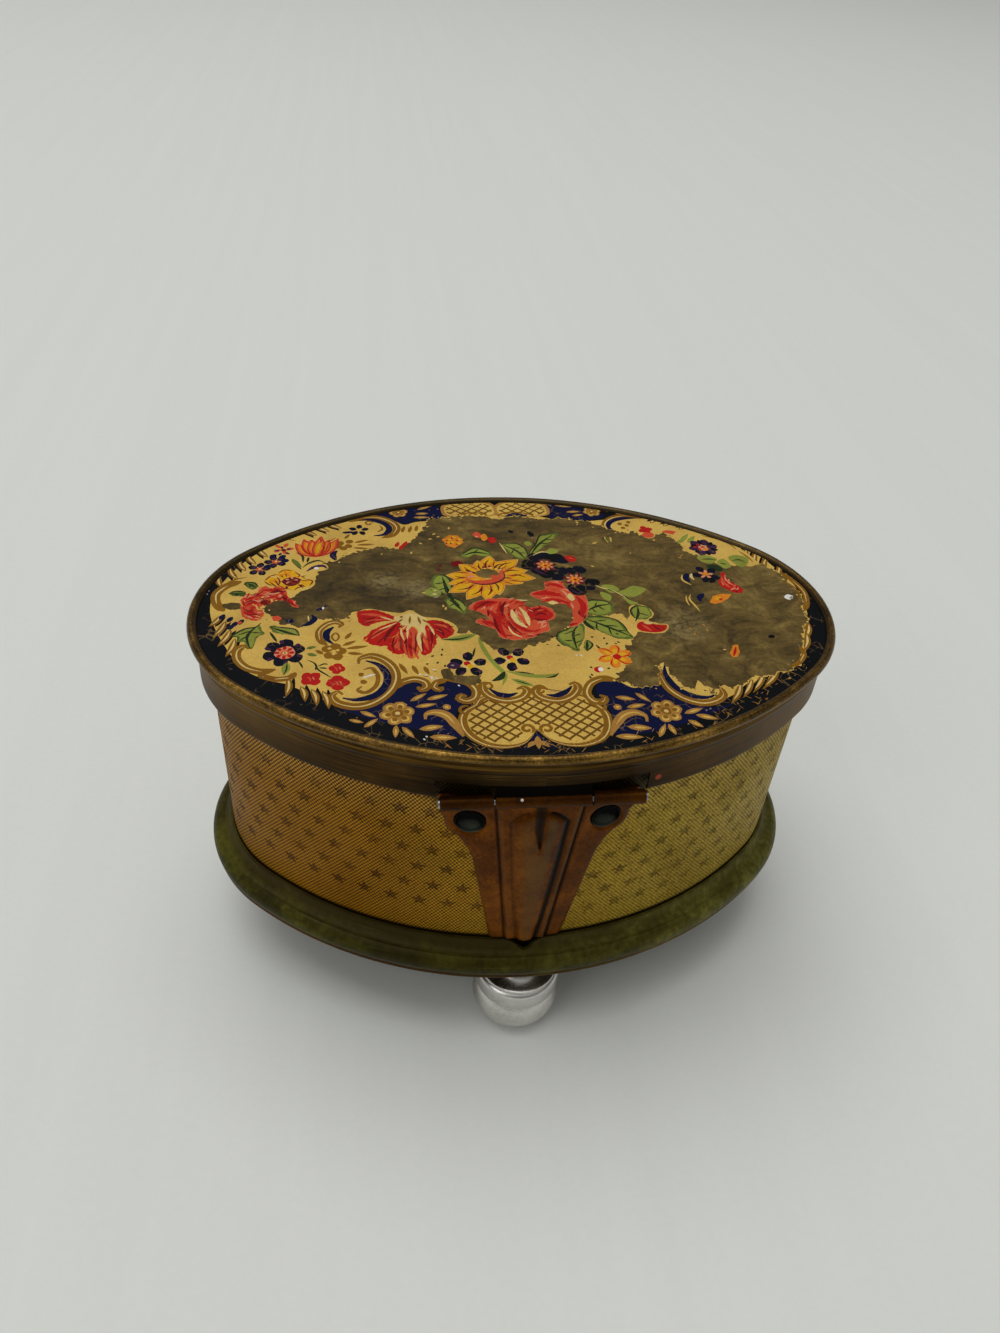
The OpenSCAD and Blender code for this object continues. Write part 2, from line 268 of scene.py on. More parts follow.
def turned(name, section, centre, count=96, sharp=35.0):
    """Turns a section of (radius, height) points, from axis to axis, about an upright axis."""
    section = np.array(section, float)
    cx, cy = centre
    points = [(cx, cy, section[0, 1]), (cx, cy, section[-1, 1])]
    inner = section[1:-1]
    for a in np.linspace(0, 2 * math.pi, count, endpoint=False):
        points += [(cx + r * math.cos(a), cy + r * math.sin(a), z) for r, z in inner]
    k = len(inner)
    faces = []
    for i in range(count):
        a, b = 2 + i * k, 2 + ((i + 1) % count) * k
        faces.append((0, b, a))
        faces.append((1, a + k - 1, b + k - 1))
        for j in range(k - 1):
            faces.append((a + j, b + j, b + j + 1, a + j + 1))
    return mesh(name, points, faces, sharp=sharp)


def lofted(name, rings, sharp):
    """A closed solid through a row of rings that have the same number of points."""
    count, m = len(rings), len(rings[0])
    faces = ring_faces(count, m)
    faces.append(tuple(range(m)))
    faces.append(tuple((count - 1) * m + j for j in reversed(range(m))))
    return outward(mesh(name, [p for ring in rings for p in ring], faces, sharp=sharp))


def knuckle(x0, x1, count=48):
    """A piece of the hinge's barrel, with its bore and slightly broken edges."""
    edge = 0.12
    rings = [(BARREL_R - edge, x0), (BARREL_R, x0 + edge), (BARREL_R, x1 - edge),
             (BARREL_R - edge, x1), (BORE_R, x1), (BORE_R, x0)]
    angles = [2 * math.pi * i / count for i in range(count)]
    points = []
    for radius, x in rings:
        points += [(x, PIN_Y + radius * math.cos(a), PIN_Z + radius * math.sin(a)) for a in angles]
    return mesh("knuckle", points, ring_faces(len(rings), count, True))


def joined(name, objs):
    """Several meshes as one piece."""
    bm = bmesh.new()
    for obj in objs:
        bm.from_mesh(obj.data)
    data = bpy.data.meshes.new(name)
    bm.to_mesh(data)
    bm.free()
    for obj in objs:
        bpy.data.objects.remove(obj)
    obj = bpy.data.objects.new(name, data)
    bpy.context.scene.collection.objects.link(obj)
    return obj


def cut(obj, tool):
    """Takes a tool's shape away from a piece."""
    step = obj.modifiers.new("cut", "BOOLEAN")
    step.operation = "DIFFERENCE"
    step.solver = "EXACT"
    step.object = tool
    graph = bpy.context.evaluated_depsgraph_get()
    fresh = bpy.data.meshes.new_from_object(obj.evaluated_get(graph))
    obj.modifiers.clear()
    obj.data = fresh
    bpy.data.objects.remove(tool)


def partition(loops, points):
    """Cuts a flat area along closed loops and through loose points into triangles."""
    coords, edges = [], []
    for loop in loops:
        start, n = len(coords), len(loop)
        coords += [Vector((float(x), float(y))) for x, y in loop]
        edges += [(start + i, start + (i + 1) % n) for i in range(n)]
    coords += [Vector((float(x), float(y))) for x, y in points]
    out = geometry.delaunay_2d_cdt(coords, edges, [], 0, 1e-4, False)
    return np.array([(p.x, p.y) for p in out[0]]), np.array([tuple(f) for f in out[2]], int)


def within(loop, points):
    """True for each point that a loop goes round."""
    x, y = np.asarray(points, float).T
    turns = np.zeros(len(x), int)
    loop = np.asarray(loop, float)
    for (x0, y0), (x1, y1) in zip(loop, np.roll(loop, -1, 0)):
        if y0 == y1:
            continue
        side = (x1 - x0) * (y - y0) - (x - x0) * (y1 - y0)
        turns += ((y0 <= y) & (y < y1) & (side > 0)).astype(int)
        turns -= ((y1 <= y) & (y < y0) & (side < 0)).astype(int)
    return turns != 0


def finely(loop, step):
    """The loop with more points along its straight runs."""
    out = []
    for a, b in zip(loop, np.roll(loop, -1, 0)):
        count = max(1, int(math.ceil(np.linalg.norm(b - a) / step)))
        out += [a + (b - a) * i / count for i in range(count)]
    return np.array(out)


def ramp_up(value, low, high):
    """A soft step from 0 to 1."""
    t = np.clip((value - low) / (high - low), 0, 1)
    return t * t * (3 - 2 * t)


# Node making

def linear(red, green, blue):
    """A screen colour, 0 to 255, as the shader takes it."""
    shares = [c / 255 for c in (red, green, blue)]
    return tuple(c / 12.92 if c <= 0.04045 else ((c + 0.055) / 1.055) ** 2.4 for c in shares) + (1.0,)


class Shader:
    """A material's nodes, made with short calls. Colours are given as screen colours."""

    def __init__(self, name):
        """Starts a material with its plain surface."""
        self.material = bpy.data.materials.new(name)
        self.material.use_nodes = True
        self.tree = self.material.node_tree
        self.surface = self.tree.nodes["Principled BSDF"]

    def add(self, kind, values=None, **props):
        """Adds a node; values are numbers or outputs of other nodes."""
        made = self.tree.nodes.new("ShaderNode" + kind)
        for key, value in props.items():
            setattr(made, key, value)
        for key, value in (values or {}).items():
            self.put(made.inputs[key], value)
        return made

    def put(self, socket, value):
        """Links an output to a socket, or sets a plain value."""
        if isinstance(value, bpy.types.NodeSocket):
            self.tree.links.new(value, socket)
        else:
            socket.default_value = value

    def set(self, **values):
        """Sets inputs of the surface."""
        for key, value in values.items():
            self.put(self.surface.inputs[key.replace("_", " ")], value)

    def where(self):
        """Place on the object."""
        return self.add("TexCoord").outputs["Object"]

    def unrolled(self):
        """Place on the sheet laid flat."""
        return self.add("UVMap", uv_map="unrolled").outputs["UV"]

    def axis(self, vector, name):
        """One part of a place."""
        return self.add("SeparateXYZ", {"Vector": vector}).outputs[name]

    def stretched(self, vector, x, y, z):
        """A place scaled along each axis."""
        return self.add("Mapping", {"Vector": vector, "Scale": (x, y, z)}).outputs["Vector"]

    def noise(self, vector, scale, detail=4.0, rough=0.55, warp=0.0):
        """Cloudy noise between 0 and 1."""
        values = {"Vector": vector, "Scale": scale, "Detail": detail,
                  "Roughness": rough, "Distortion": warp}
        return self.add("TexNoise", values).outputs["Fac"]

    def cells(self, vector, scale, feature="F1"):
        """Distances in a pattern of cells."""
        made = self.add("TexVoronoi", {"Vector": vector, "Scale": scale}, feature=feature)
        return made.outputs["Distance"]

    def math(self, operation, a, b=None, c=None):
        """One sum, by the name that the node has for it."""
        made = self.add("Math", operation=operation)
        for socket, value in zip(made.inputs, (a, b, c)):
            if value is not None:
                self.put(socket, value)
        return made.outputs[0]

    def plus(self, a, b):
        """a + b."""
        return self.math("ADD", a, b)

    def times(self, a, b):
        """a * b."""
        return self.math("MULTIPLY", a, b)

    def scaled(self, a, by, plus):
        """a * by + plus."""
        return self.math("MULTIPLY_ADD", a, by, plus)

    def most(self, a, b):
        """The larger of two values."""
        return self.math("MAXIMUM", a, b)

    def span(self, value, low, high, to_low=0.0, to_high=1.0):
        """Maps one range to another and holds the ends."""
        values = {"Value": value, "From Min": low, "From Max": high, "To Min": to_low, "To Max": to_high}
        return self.add("MapRange", values).outputs["Result"]

    def near(self, value, at, width):
        """1 at a value, 0 from a width away."""
        away = self.math("ABSOLUTE", self.math("SUBTRACT", value, at))
        return self.span(away, width * 0.5, width, 1.0, 0.0)

    def spot(self, vector, at, radius, core=0.8):
        """1 inside a ball, 0 outside it."""
        away = self.add("VectorMath", operation="DISTANCE")
        self.put(away.inputs[0], vector)
        away.inputs[1].default_value = at
        return self.span(away.outputs["Value"], radius * core, radius, 1.0, 0.0)

    def ramp(self, value, *stops):
        """Colours along a value, as pairs of a share and a colour."""
        made = self.add("ValToRGB", {"Fac": value})
        bar = made.color_ramp
        while len(bar.elements) < len(stops):
            bar.elements.new(0.5)
        for element, (at, colour) in zip(bar.elements, stops):
            element.position = at
            element.color = linear(*colour)
        return made.outputs["Color"]

    def mix(self, share, a, b, how="MIX"):
        """A share of the second colour on the first."""
        made = self.add("Mix", data_type="RGBA", blend_type=how)
        self.put(made.inputs["Factor"], share)
        for socket, value in ((made.inputs[6], a), (made.inputs[7], b)):
            self.put(socket, linear(*value) if isinstance(value, tuple) else value)
        return made.outputs[2]

    def bump(self, height, strength, distance):
        """Fine relief from a height."""
        values = {"Height": height, "Strength": strength, "Distance": distance}
        return self.add("Bump", values).outputs["Normal"]


def dress(obj, shaders, body, node):
    """Gives a piece its materials and body, and hides the CAD node that it stands for."""
    obj.data.materials.clear()
    for shader in shaders if isinstance(shaders, list) else [shaders]:
        obj.data.materials.append(shader.material)
    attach(obj, body)
    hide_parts(node)
    return obj


# Materials, in metres; the wall's mesh is two waves, in radians per metre

MESH_ALONG = 8300.0
MESH_UP = 6700.0
# Heights on the skirt for its painted shade in the crease and at the step's foot, its painted highlight on
# the step, and its hem line
CREASE_Z = 0.0743
STEP_Z = 0.0728
STEP_FOOT_Z = 0.0715
HEM_Z = 0.0649


def paper_white():
    """Floor: matt white paper with faint streaks."""
    s = Shader("paper_white")
    p = s.where()
    streak = s.noise(s.stretched(p, 110, 2, 1), 1.0, 2.0)
    fleck = s.noise(p, 700, 3.0)
    tone = s.scaled(fleck, 0.5, s.times(streak, 0.5))
    base = s.ramp(tone, (0.3, (224, 226, 221)), (0.7, (228, 230, 225)))
    s.set(Base_Color=base, Roughness=0.85, Specular_IOR_Level=0.2)
    s.set(Normal=s.bump(fleck, 0.08, 0.0003))
    return s


def printed_ink():
    """Lacquered print: the colour of each patch, yellowed in clouds, with fine crazing and grain."""
    s = Shader("printed_ink")
    p = s.where()
    ink = s.add("VertexColor", layer_name="print").outputs["Color"]
    cloud = s.noise(p, 130, 5.0, 0.6)
    grain = s.noise(p, 3200, 3.0, 0.6)
    aged = s.mix(s.span(cloud, 0.42, 0.75, 0.0, 0.3), ink, (150, 104, 40), "MULTIPLY")
    aged = s.mix(s.span(grain, 0.35, 0.7, 0.22, 0.0), aged, (96, 66, 26), "MULTIPLY")
    crack = s.cells(s.stretched(p, 1, 1, 0), 520, "DISTANCE_TO_EDGE")
    broken = s.noise(p, 210, 3.0)
    line = s.times(s.span(crack, 0.0, 0.045, 1.0, 0.0), s.span(broken, 0.53, 0.62))
    aged = s.mix(s.times(line, 0.35), aged, (176, 140, 84))
    s.set(Base_Color=aged, Roughness=s.span(cloud, 0.3, 0.75, 0.34, 0.5), Specular_IOR_Level=0.1)
    height = s.scaled(line, -0.5, grain)
    s.set(Normal=s.bump(height, 0.12, 0.00006))
    return s


def bare_tin():
    """Rubbed-through sheet: dull olive-brown metal, stained in clouds, with hairline scratches."""
    s = Shader("bare_tin")
    p = s.where()
    broad = s.noise(p, 42, 4.0, 0.55, 0.8)
    cloud = s.noise(s.stretched(p, 1.0, 1.5, 1.0), 150, 6.0, 0.66, 1.2)
    fine = s.noise(p, 1300, 4.0, 0.6)
    hair = s.noise(s.stretched(p, 260, 2400, 1), 1.0, 3.0, 0.6, 0.6)
    tone = s.scaled(fine, 0.16, s.scaled(cloud, 0.5, s.times(broad, 0.34)))
    across = s.axis(p, "X")
    tone = s.plus(tone, s.span(across, -0.03, 0.045, -0.05, 0.03))
    base = s.ramp(tone, (0.34, (46, 35, 12)), (0.44, (76, 60, 24)),
                  (0.53, (106, 85, 38)), (0.66, (150, 126, 66)))
    base = s.mix(s.span(hair, 0.58, 0.76, 0.0, 0.2), base, (140, 120, 74))
    flat = s.stretched(p, 1, 1, 0)
    haze = 0.0
    for x, y, radius in ((-0.0245, 0.0094, 0.0044), (-0.0194, 0.0068, 0.0046), (0.0295, -0.0058, 0.007)):
        haze = s.most(haze, s.spot(flat, (x, y, 0.0), radius, 0.1))
    base = s.mix(s.times(haze, s.span(s.plus(cloud, fine), 0.85, 1.2, 0.0, 0.55)), base, (158, 142, 98))
    s.set(Base_Color=base, Metallic=0.35, Specular_IOR_Level=0.25)
    s.set(Roughness=s.span(cloud, 0.3, 0.7, 0.4, 0.6))
    s.set(Normal=s.bump(s.plus(fine, s.times(hair, 0.6)), 0.16, 0.00008))
    return s


def rim_brass():
    """Rolled edge: gold-bronze, left bright along the crest, with painted shade in the crease by the panel,
    under the roll and along the far side.
    """
    s = Shader("rim_brass")
    p, uv = s.where(), s.unrolled()
    girth = s.axis(uv, "Y")
    worn = s.noise(p, 150, 6.0, 0.65)
    line = s.noise(s.stretched(uv, 110, 5200, 1), 1.0, 4.0, 0.6)
    pit = s.noise(p, 1500, 3.0)
    speck = s.noise(p, 2600, 2.0, 0.6)
    tone = s.scaled(line, 0.3, s.scaled(worn, 0.4, s.times(speck, 0.3)))
    base = s.ramp(tone, (0.36, (34, 22, 5)), (0.46, (78, 56, 16)),
                  (0.55, (126, 94, 33)), (0.66, (196, 154, 78)))
    # Painted shade in the crease where the roll meets the panel
    inner = s.span(girth, 0.0022, 0.0028, 0.0, 0.75)
    base = s.mix(inner, base, (44, 29, 10))
    # Painted shade on the underside of the roll
    outer = s.span(girth, 0.0005, 0.001, 0.55, 0.0)
    base = s.mix(outer, base, (70, 50, 18))
    # Painted shade along the far side of the lid
    far_side_shade = s.span(s.axis(p, "Y"), -0.012, 0.026, 0.0, 0.62)
    base = s.mix(far_side_shade, base, (50, 44, 24))
    s.set(Base_Color=base, Metallic=0.8, Roughness=s.span(worn, 0.3, 0.7, 0.28, 0.48))
    s.set(Normal=s.bump(s.plus(line, pit), 0.14, 0.00008))
    return s


def dark_bronze():
    """Skirt: dark olive-brown and scratched along, darker towards the hem, with painted reflected light at
    both ends, a painted highlight on the step, painted shade in the grooves beside it and painted shade in
    the middle over the hinge.
    """
    s = Shader("dark_bronze")
    p, uv = s.where(), s.unrolled()
    height = s.axis(p, "Z")
    cloud = s.noise(p, 60, 5.0, 0.6)
    line = s.noise(s.stretched(uv, 45, 3600, 1), 1.0, 5.0, 0.62)
    fine = s.noise(p, 1300, 3.0)
    tone = s.scaled(line, 0.6, s.times(cloud, 0.4))
    base = s.ramp(tone, (0.32, (24, 14, 2)), (0.45, (50, 32, 7)),
                  (0.57, (84, 58, 17)), (0.7, (156, 120, 54)))
    across = s.math("ABSOLUTE", s.axis(p, "X"))
    # Painted reflected light along the scratches at both ends of the skirt
    ends = s.span(s.scaled(cloud, 0.02, across), 0.032, 0.062)
    end = s.times(ends, s.span(line, 0.3, 0.65, 0.2, 0.62))
    base = s.mix(end, base, (124, 92, 34))
    # Darker towards the hem, mostly on the left
    to_right = s.span(s.axis(p, "X"), -0.01, 0.03, 1.0, 0.15)
    under = s.times(s.span(height, 0.0662, 0.0716, 0.55, 0.0), to_right)
    base = s.mix(under, base, (26, 16, 4))
    # Painted shade along the middle of the skirt, front and back, darkest low down where it stands over the
    # hinge
    shade = s.times(s.near(across, 0.0, 0.028), s.span(height, 0.0675, 0.0735, 0.85, 0.3))
    base = s.mix(shade, base, (12, 8, 3))
    # Painted shade in the crease under the roll and at the foot of the step
    foot = s.times(s.near(height, STEP_FOOT_Z, 0.0003), 0.6)
    groove = s.most(s.near(height, CREASE_Z, 0.0006), foot)
    base = s.mix(s.times(groove, 0.85), base, (18, 11, 3))
    # Painted highlight along the step
    step = s.times(s.near(height, STEP_Z, 0.00035), s.span(line, 0.35, 0.6, 0.1, 0.6))
    base = s.mix(step, base, (130, 98, 44))
    hem = s.times(s.near(height, HEM_Z, 0.0004), s.span(line, 0.35, 0.65, 0.1, 0.7))
    base = s.mix(hem, base, (124, 76, 36))
    red = s.spot(p, (0.0195, -0.0367, 0.0675), 0.0007)
    base = s.mix(red, base, (150, 62, 42))
    s.set(Base_Color=base, Metallic=0.72, Specular_IOR_Level=0.04)
    s.set(Roughness=s.span(line, 0.3, 0.7, 0.36, 0.54))
    s.set(Normal=s.bump(s.plus(line, s.times(fine, 0.5)), 0.16, 0.0001))
    return s


def star_sheet(dark):
    """Wall sheet: gold foil pressed with a fine diamond mesh; the stars have the same mesh in brown. It is
    painted as a lit and a shaded copy from left to right, with a painted highlight on the mesh near the
    top, painted shade in the joint above the base and a painted shadow behind the hinge.
    """
    s = Shader("star_sheet_dark" if dark else "star_sheet")
    p, uv = s.where(), s.unrolled()
    along, upward = s.axis(uv, "X"), s.axis(uv, "Y")
    across = s.axis(p, "X")
    cloud = s.noise(p, 55, 5.0, 0.6)
    fine = s.noise(p, 2200, 3.0, 0.6)
    # Across the wall from left to right: the left and right copies of the colours, mesh depth and speckle
    # below are painted light and shade, warmer and brighter on the left
    side = s.span(s.scaled(cloud, 0.03, across), -0.012, 0.04)
    waver = s.times(s.math("SUBTRACT", s.noise(p, 900, 2.0), 0.5), s.span(side, 0.0, 1.0, 1.2, 4.2))
    lean, climb = s.times(along, MESH_ALONG), s.scaled(upward, MESH_UP, waver)
    rising = s.math("COSINE", s.math("SUBTRACT", climb, lean))
    falling = s.math("COSINE", s.plus(climb, lean))
    share = s.span(side, 0.0, 1.0, 0.6, 0.36)
    weave = s.plus(s.times(rising, share), s.times(falling, s.math("SUBTRACT", 1.0, share)))
    low = s.mix(side, (60, 34, 1), (62, 47, 4))
    high = s.mix(side, (192, 134, 20), (212, 180, 66))
    if dark:
        patches = s.span(s.noise(p, 240, 3.0), 0.42, 0.66, 0.1, 0.62)
        specks = s.span(s.noise(p, 800, 2.0), 0.46, 0.6, 0.0, 0.55)
        rubbed = s.most(patches, s.times(side, specks))
        low = s.mix(rubbed, s.mix(side, (38, 19, 1), (40, 30, 4)), low)
        high = s.mix(rubbed, s.mix(side, (118, 74, 8), (132, 108, 32)), high)
    mesh_depth = s.times(weave, s.span(side, 0.0, 1.0, 0.48, 0.24))
    lift = s.plus(mesh_depth, s.span(side, 0.0, 1.0, 0.21, 0.0))
    tone = s.plus(s.times(fine, s.span(side, 0.0, 1.0, 0.45, 1.0)), lift)
    base = s.mix(s.span(tone, 0.1, 0.9), low, high)
    base = s.mix(s.times(side, s.span(s.noise(p, 1250, 2.0), 0.58, 0.68, 0.0, 0.5)), base, (58, 40, 4))
    base = s.mix(s.span(cloud, 0.45, 0.75, 0.0, 0.35), base, (128, 92, 40), "MULTIPLY")
    # Painted highlight on the mesh's crests towards the top of the wall
    worn = s.times(s.span(upward, 0.055, 0.0635, 0.0, 0.4), s.span(weave, 0.0, 0.8))
    base = s.mix(worn, base, (226, 190, 120))
    # Painted shade in the joint just above the base moulding
    base = s.mix(s.span(upward, 0.0264, 0.0272, 0.96, 0.0), base, (6, 4, 2))
    # Painted shadow on the wall behind the hinge's barrel
    ragged = s.times(s.math("SUBTRACT", s.noise(p, 420, 4.0), 0.5), 0.005)
    beside = s.span(s.plus(s.math("ABSOLUTE", across), ragged), 0.0182, 0.0202, 1.0, 0.0)
    level = s.plus(upward, ragged)
    band = s.times(s.span(level, 0.0616, 0.0634), s.span(level, 0.0672, 0.0702, 1.0, 0.0))
    hinge_side = s.span(s.axis(p, "Y"), -0.03, -0.025, 0.92, 0.0)
    base = s.mix(s.times(s.times(band, beside), hinge_side), base, (8, 5, 2))
    s.set(Base_Color=base, Metallic=0.45, Specular_IOR_Level=0.05)
    s.set(Roughness=s.span(cloud, 0.3, 0.7, 0.44, 0.6))
    s.set(Normal=s.bump(s.scaled(fine, 0.3, weave), 0.35, 0.00006))
    return s


def patina_brass():
    """Base moulding: green-olive patina, red-brown along the lower edge, with pale scratches, a paler lit
    copy towards the right as painted light, and painted shade at the front under the hinge.
    """
    s = Shader("patina_brass")
    p, uv = s.where(), s.unrolled()
    height = s.axis(p, "Z")
    cloud = s.noise(p, 75, 6.0, 0.62, 0.3)
    fine = s.noise(p, 900, 4.0, 0.6)
    line = s.noise(s.stretched(uv, 50, 2600, 1), 1.0, 4.0, 0.6)
    tone = s.scaled(fine, 0.3, s.times(cloud, 0.7))
    base = s.ramp(tone, (0.32, (30, 25, 2)), (0.46, (52, 48, 4)),
                  (0.58, (82, 80, 16)), (0.74, (124, 114, 46)))
    ragged = s.scaled(s.math("SUBTRACT", fine, 0.5), 0.0016, height)
    base = s.mix(s.span(ragged, 0.0193, 0.0203, 0.8, 0.0), base, (90, 54, 22))
    base = s.mix(s.span(ragged, 0.0232, 0.0246, 0.0, 0.7), base, (62, 50, 18))
    base = s.mix(s.span(line, 0.62, 0.78, 0.0, 0.35), base, (150, 138, 84))
    across = s.axis(p, "X")
    # Painted light: a paler copy of the patina towards the right
    lit_right_ramp = s.ramp(tone, (0.36, (72, 64, 20)), (0.5, (106, 102, 40)), (0.66, (162, 156, 82)))
    base = s.mix(s.span(s.scaled(cloud, 0.03, across), 0.012, 0.038, 0.0, 0.42), base, lit_right_ramp)
    # Painted shade at the front, under the hinge
    front = s.times(s.near(across, -0.012, 0.04), s.span(s.axis(p, "Y"), -0.03, -0.02, 0.5, 0.0))
    base = s.mix(front, base, (38, 31, 0))
    s.set(Base_Color=base, Metallic=0.35, Specular_IOR_Level=0.12)
    s.set(Roughness=s.span(cloud, 0.3, 0.7, 0.4, 0.58))
    s.set(Normal=s.bump(s.plus(fine, line), 0.16, 0.0001))
    return s


def copper_lacquer():
    """Hinge: copper-brown lacquer, rubbed to grey on what stands proud; painted shade darkens the hollows
    and the gap above the middle knuckle, the knuckles and straps are darker, the bud's right flank has a
    painted sheen and the middle knuckle a painted glint.
    """
    s = Shader("copper_lacquer")
    p = s.where()
    cloud = s.noise(p, 170, 5.0, 0.6)
    fine = s.noise(p, 1700, 4.0, 0.6)
    brushed = s.noise(s.stretched(p, 2600, 2600, 160), 1.0, 3.0, 0.6)
    tone = s.scaled(fine, 0.3, s.times(cloud, 0.7))
    base = s.ramp(tone, (0.3, (50, 23, 1)), (0.48, (90, 47, 4)), (0.7, (140, 80, 13)))
    proud = s.add("Attribute", attribute_name="proud").outputs["Fac"]
    rubbed = s.times(s.span(proud, 0.35, 1.0), s.span(s.plus(cloud, s.times(brushed, 0.5)), 0.55, 0.95))
    base = s.mix(s.times(rubbed, 0.6), base, (104, 74, 34))
    # Painted sheen, grey, on the right flank of the bud
    flank_sheen = s.span(s.axis(p, "X"), -0.0025, 0.003, 0.1, 0.6)
    base = s.mix(s.times(flank_sheen, s.span(proud, 0.5, 1.0)), base, (82, 68, 46))
    # Where proud is below 0: painted shade in the hollows, and a darker tone on the knuckles and straps
    hollow = s.span(proud, -0.6, 0.0, 0.88, 0.0)
    base = s.mix(hollow, base, (26, 16, 5))
    # Near-black painted shadow on the lid plate's face in the gap above the middle knuckle
    base = s.mix(s.span(proud, -1.0, -0.7, 0.98, 0.0), base, (4, 3, 2))
    # Painted glint on the middle knuckle
    base = s.mix(s.spot(p, (-0.0037, -0.0395, 0.0664), 0.00028), base, (236, 232, 220))
    s.set(Base_Color=base, Metallic=0.55, Specular_IOR_Level=0.05)
    s.set(Roughness=s.span(cloud, 0.3, 0.7, 0.3, 0.46))
    s.set(Normal=s.bump(s.plus(fine, brushed), 0.1, 0.00008))
    return s


def metal(name, dark, light, dull, shine=1.0):
    """A plain metal with clouding, grain and fine turning lines."""
    s = Shader(name)
    p = s.where()
    cloud = s.noise(p, 140, 5.0, 0.6)
    fine = s.noise(p, 1500, 4.0, 0.6)
    lines = s.noise(s.stretched(p, 30, 30, 4200), 1.0, 3.0, 0.6)
    tone = s.scaled(fine, 0.35, s.times(cloud, 0.65))
    s.set(Base_Color=s.ramp(tone, (0.32, dark), (0.68, light)), Metallic=shine)
    s.set(Roughness=s.span(tone, 0.3, 0.7, dull * 0.75, dull * 1.3))
    s.set(Normal=s.bump(s.plus(lines, s.times(fine, 0.5)), 0.06, 0.00006))
    return s


def rivet_steel():
    """Sunk rivet heads: black above, grey-green where light reaches in."""
    s = Shader("rivet_steel")
    p = s.where()
    height = s.axis(p, "Z")
    fine = s.noise(p, 1500, 4.0, 0.6)
    lit = s.span(s.scaled(fine, 0.0006, height), 0.0558, 0.058, 1.0, 0.0)
    s.set(Base_Color=s.mix(lit, (2, 2, 2), (88, 92, 80)), Metallic=0.4)
    s.set(Roughness=0.5, Specular_IOR_Level=0.1)
    s.set(Normal=s.bump(fine, 0.08, 0.00006))
    return s


def velvet():
    """Wine-red cloth with a short pile that lies in brushed patches."""
    s = Shader("velvet")
    p = s.where()
    patch = s.noise(p, 60, 4.0, 0.6, 0.5)
    pile = s.noise(p, 3600, 2.0, 0.7)
    weave = s.noise(s.stretched(p, 1600, 1600, 1600), 1.0, 2.0)
    tone = s.scaled(pile, 0.45, s.times(patch, 0.55))
    s.set(Base_Color=s.ramp(tone, (0.3, (66, 10, 18)), (0.5, (102, 18, 28)), (0.7, (136, 34, 44))))
    s.set(Roughness=0.9, Sheen_Weight=0.5, Sheen_Roughness=0.4)
    s.surface.inputs["Sheen Tint"].default_value = linear(220, 120, 125)
    s.set(Normal=s.bump(s.scaled(weave, 0.5, pile), 0.5, 0.0002))
    return s


def card():
    """Grey-brown board with pressed fibres."""
    s = Shader("card")
    p = s.where()
    fibre = s.noise(s.stretched(p, 700, 2400, 900), 1.0, 4.0, 0.65, 0.8)
    cloud = s.noise(p, 90, 4.0)
    tone = s.scaled(fibre, 0.6, s.times(cloud, 0.4))
    s.set(Base_Color=s.ramp(tone, (0.3, (150, 128, 96)), (0.7, (188, 168, 134))), Roughness=0.88)
    s.set(Normal=s.bump(fibre, 0.25, 0.0001))
    return s


INK = printed_ink()
BARE = bare_tin()
BRASS = rim_brass()
BRONZE = dark_bronze()
SHEET = star_sheet(False)
STARS = star_sheet(True)
PATINA = patina_brass()
COPPER = copper_lacquer()
SILVER = metal("silver", (186, 183, 178), (226, 223, 218), 0.29)
STEEL = metal("steel", (128, 128, 130), (176, 176, 176), 0.32)
RIVET = rivet_steel()
TIN = metal("pan_tin", (58, 52, 38), (96, 88, 66), 0.42, 0.6)
VELVET = velvet()
CARD = card()
PAPER = paper_white()


# Print of the lid: shapes are drawn in plan, in millimetres, each over the ones before

INKS = {
    "dark": (3, 5, 11),
    "navy": (4, 12, 56),
    "cream": (220, 182, 90),
    "pale": (228, 200, 128),
    "ochre": (140, 96, 20),
    "tan": (176, 128, 58),
    "red": (186, 26, 20),
    "deep": (116, 12, 14),
    "coral": (212, 82, 50),
    "pink": (226, 146, 108),
    "yellow": (230, 174, 26),
    "amber": (228, 136, 34),
    "maroon": (104, 22, 24),
    "green": (144, 152, 60),
    "olive": (98, 114, 44),
    "shade": (34, 50, 22),
    "plum": (62, 30, 62),
    "grey": (150, 146, 138),
    "white": (236, 234, 226),
    "midnight": (7, 9, 28),
    "umber": (112, 78, 16),
    "bare": (84, 66, 34),
}
DRAWN = []
PRINT_SCALE = 1.0087
PRINT_SHIFT = (0.23, 1.28)
EDGE_GAP = 0.12
TORN_PITCH = 0.3
LATTICE_RISE = 0.8125
LATTICE_STEP = 1.95
LATTICE_HALF = 0.21


def ink(name, loop):
    """Lays a filled shape down, moved to its place on the panel and kept off the panel's edge."""
    loop = np.asarray(loop, float) * PRINT_SCALE + PRINT_SHIFT
    for k, (x, y) in enumerate(loop):
        if inside_oval(x, y, PANEL_IN + 0.1):
            continue
        if abs(y) * END_C < SIDE_C * (abs(x) - END_C):
            mid, radius = np.array([math.copysign(END_C, x), 0.0]), END_R - PANEL_IN - EDGE_GAP
        else:
            mid, radius = np.array([0.0, -math.copysign(SIDE_C, y)]), SIDE_R - PANEL_IN - EDGE_GAP
        away = loop[k] - mid
        loop[k] = mid + away / np.linalg.norm(away) * radius
    DRAWN.append((name, loop))


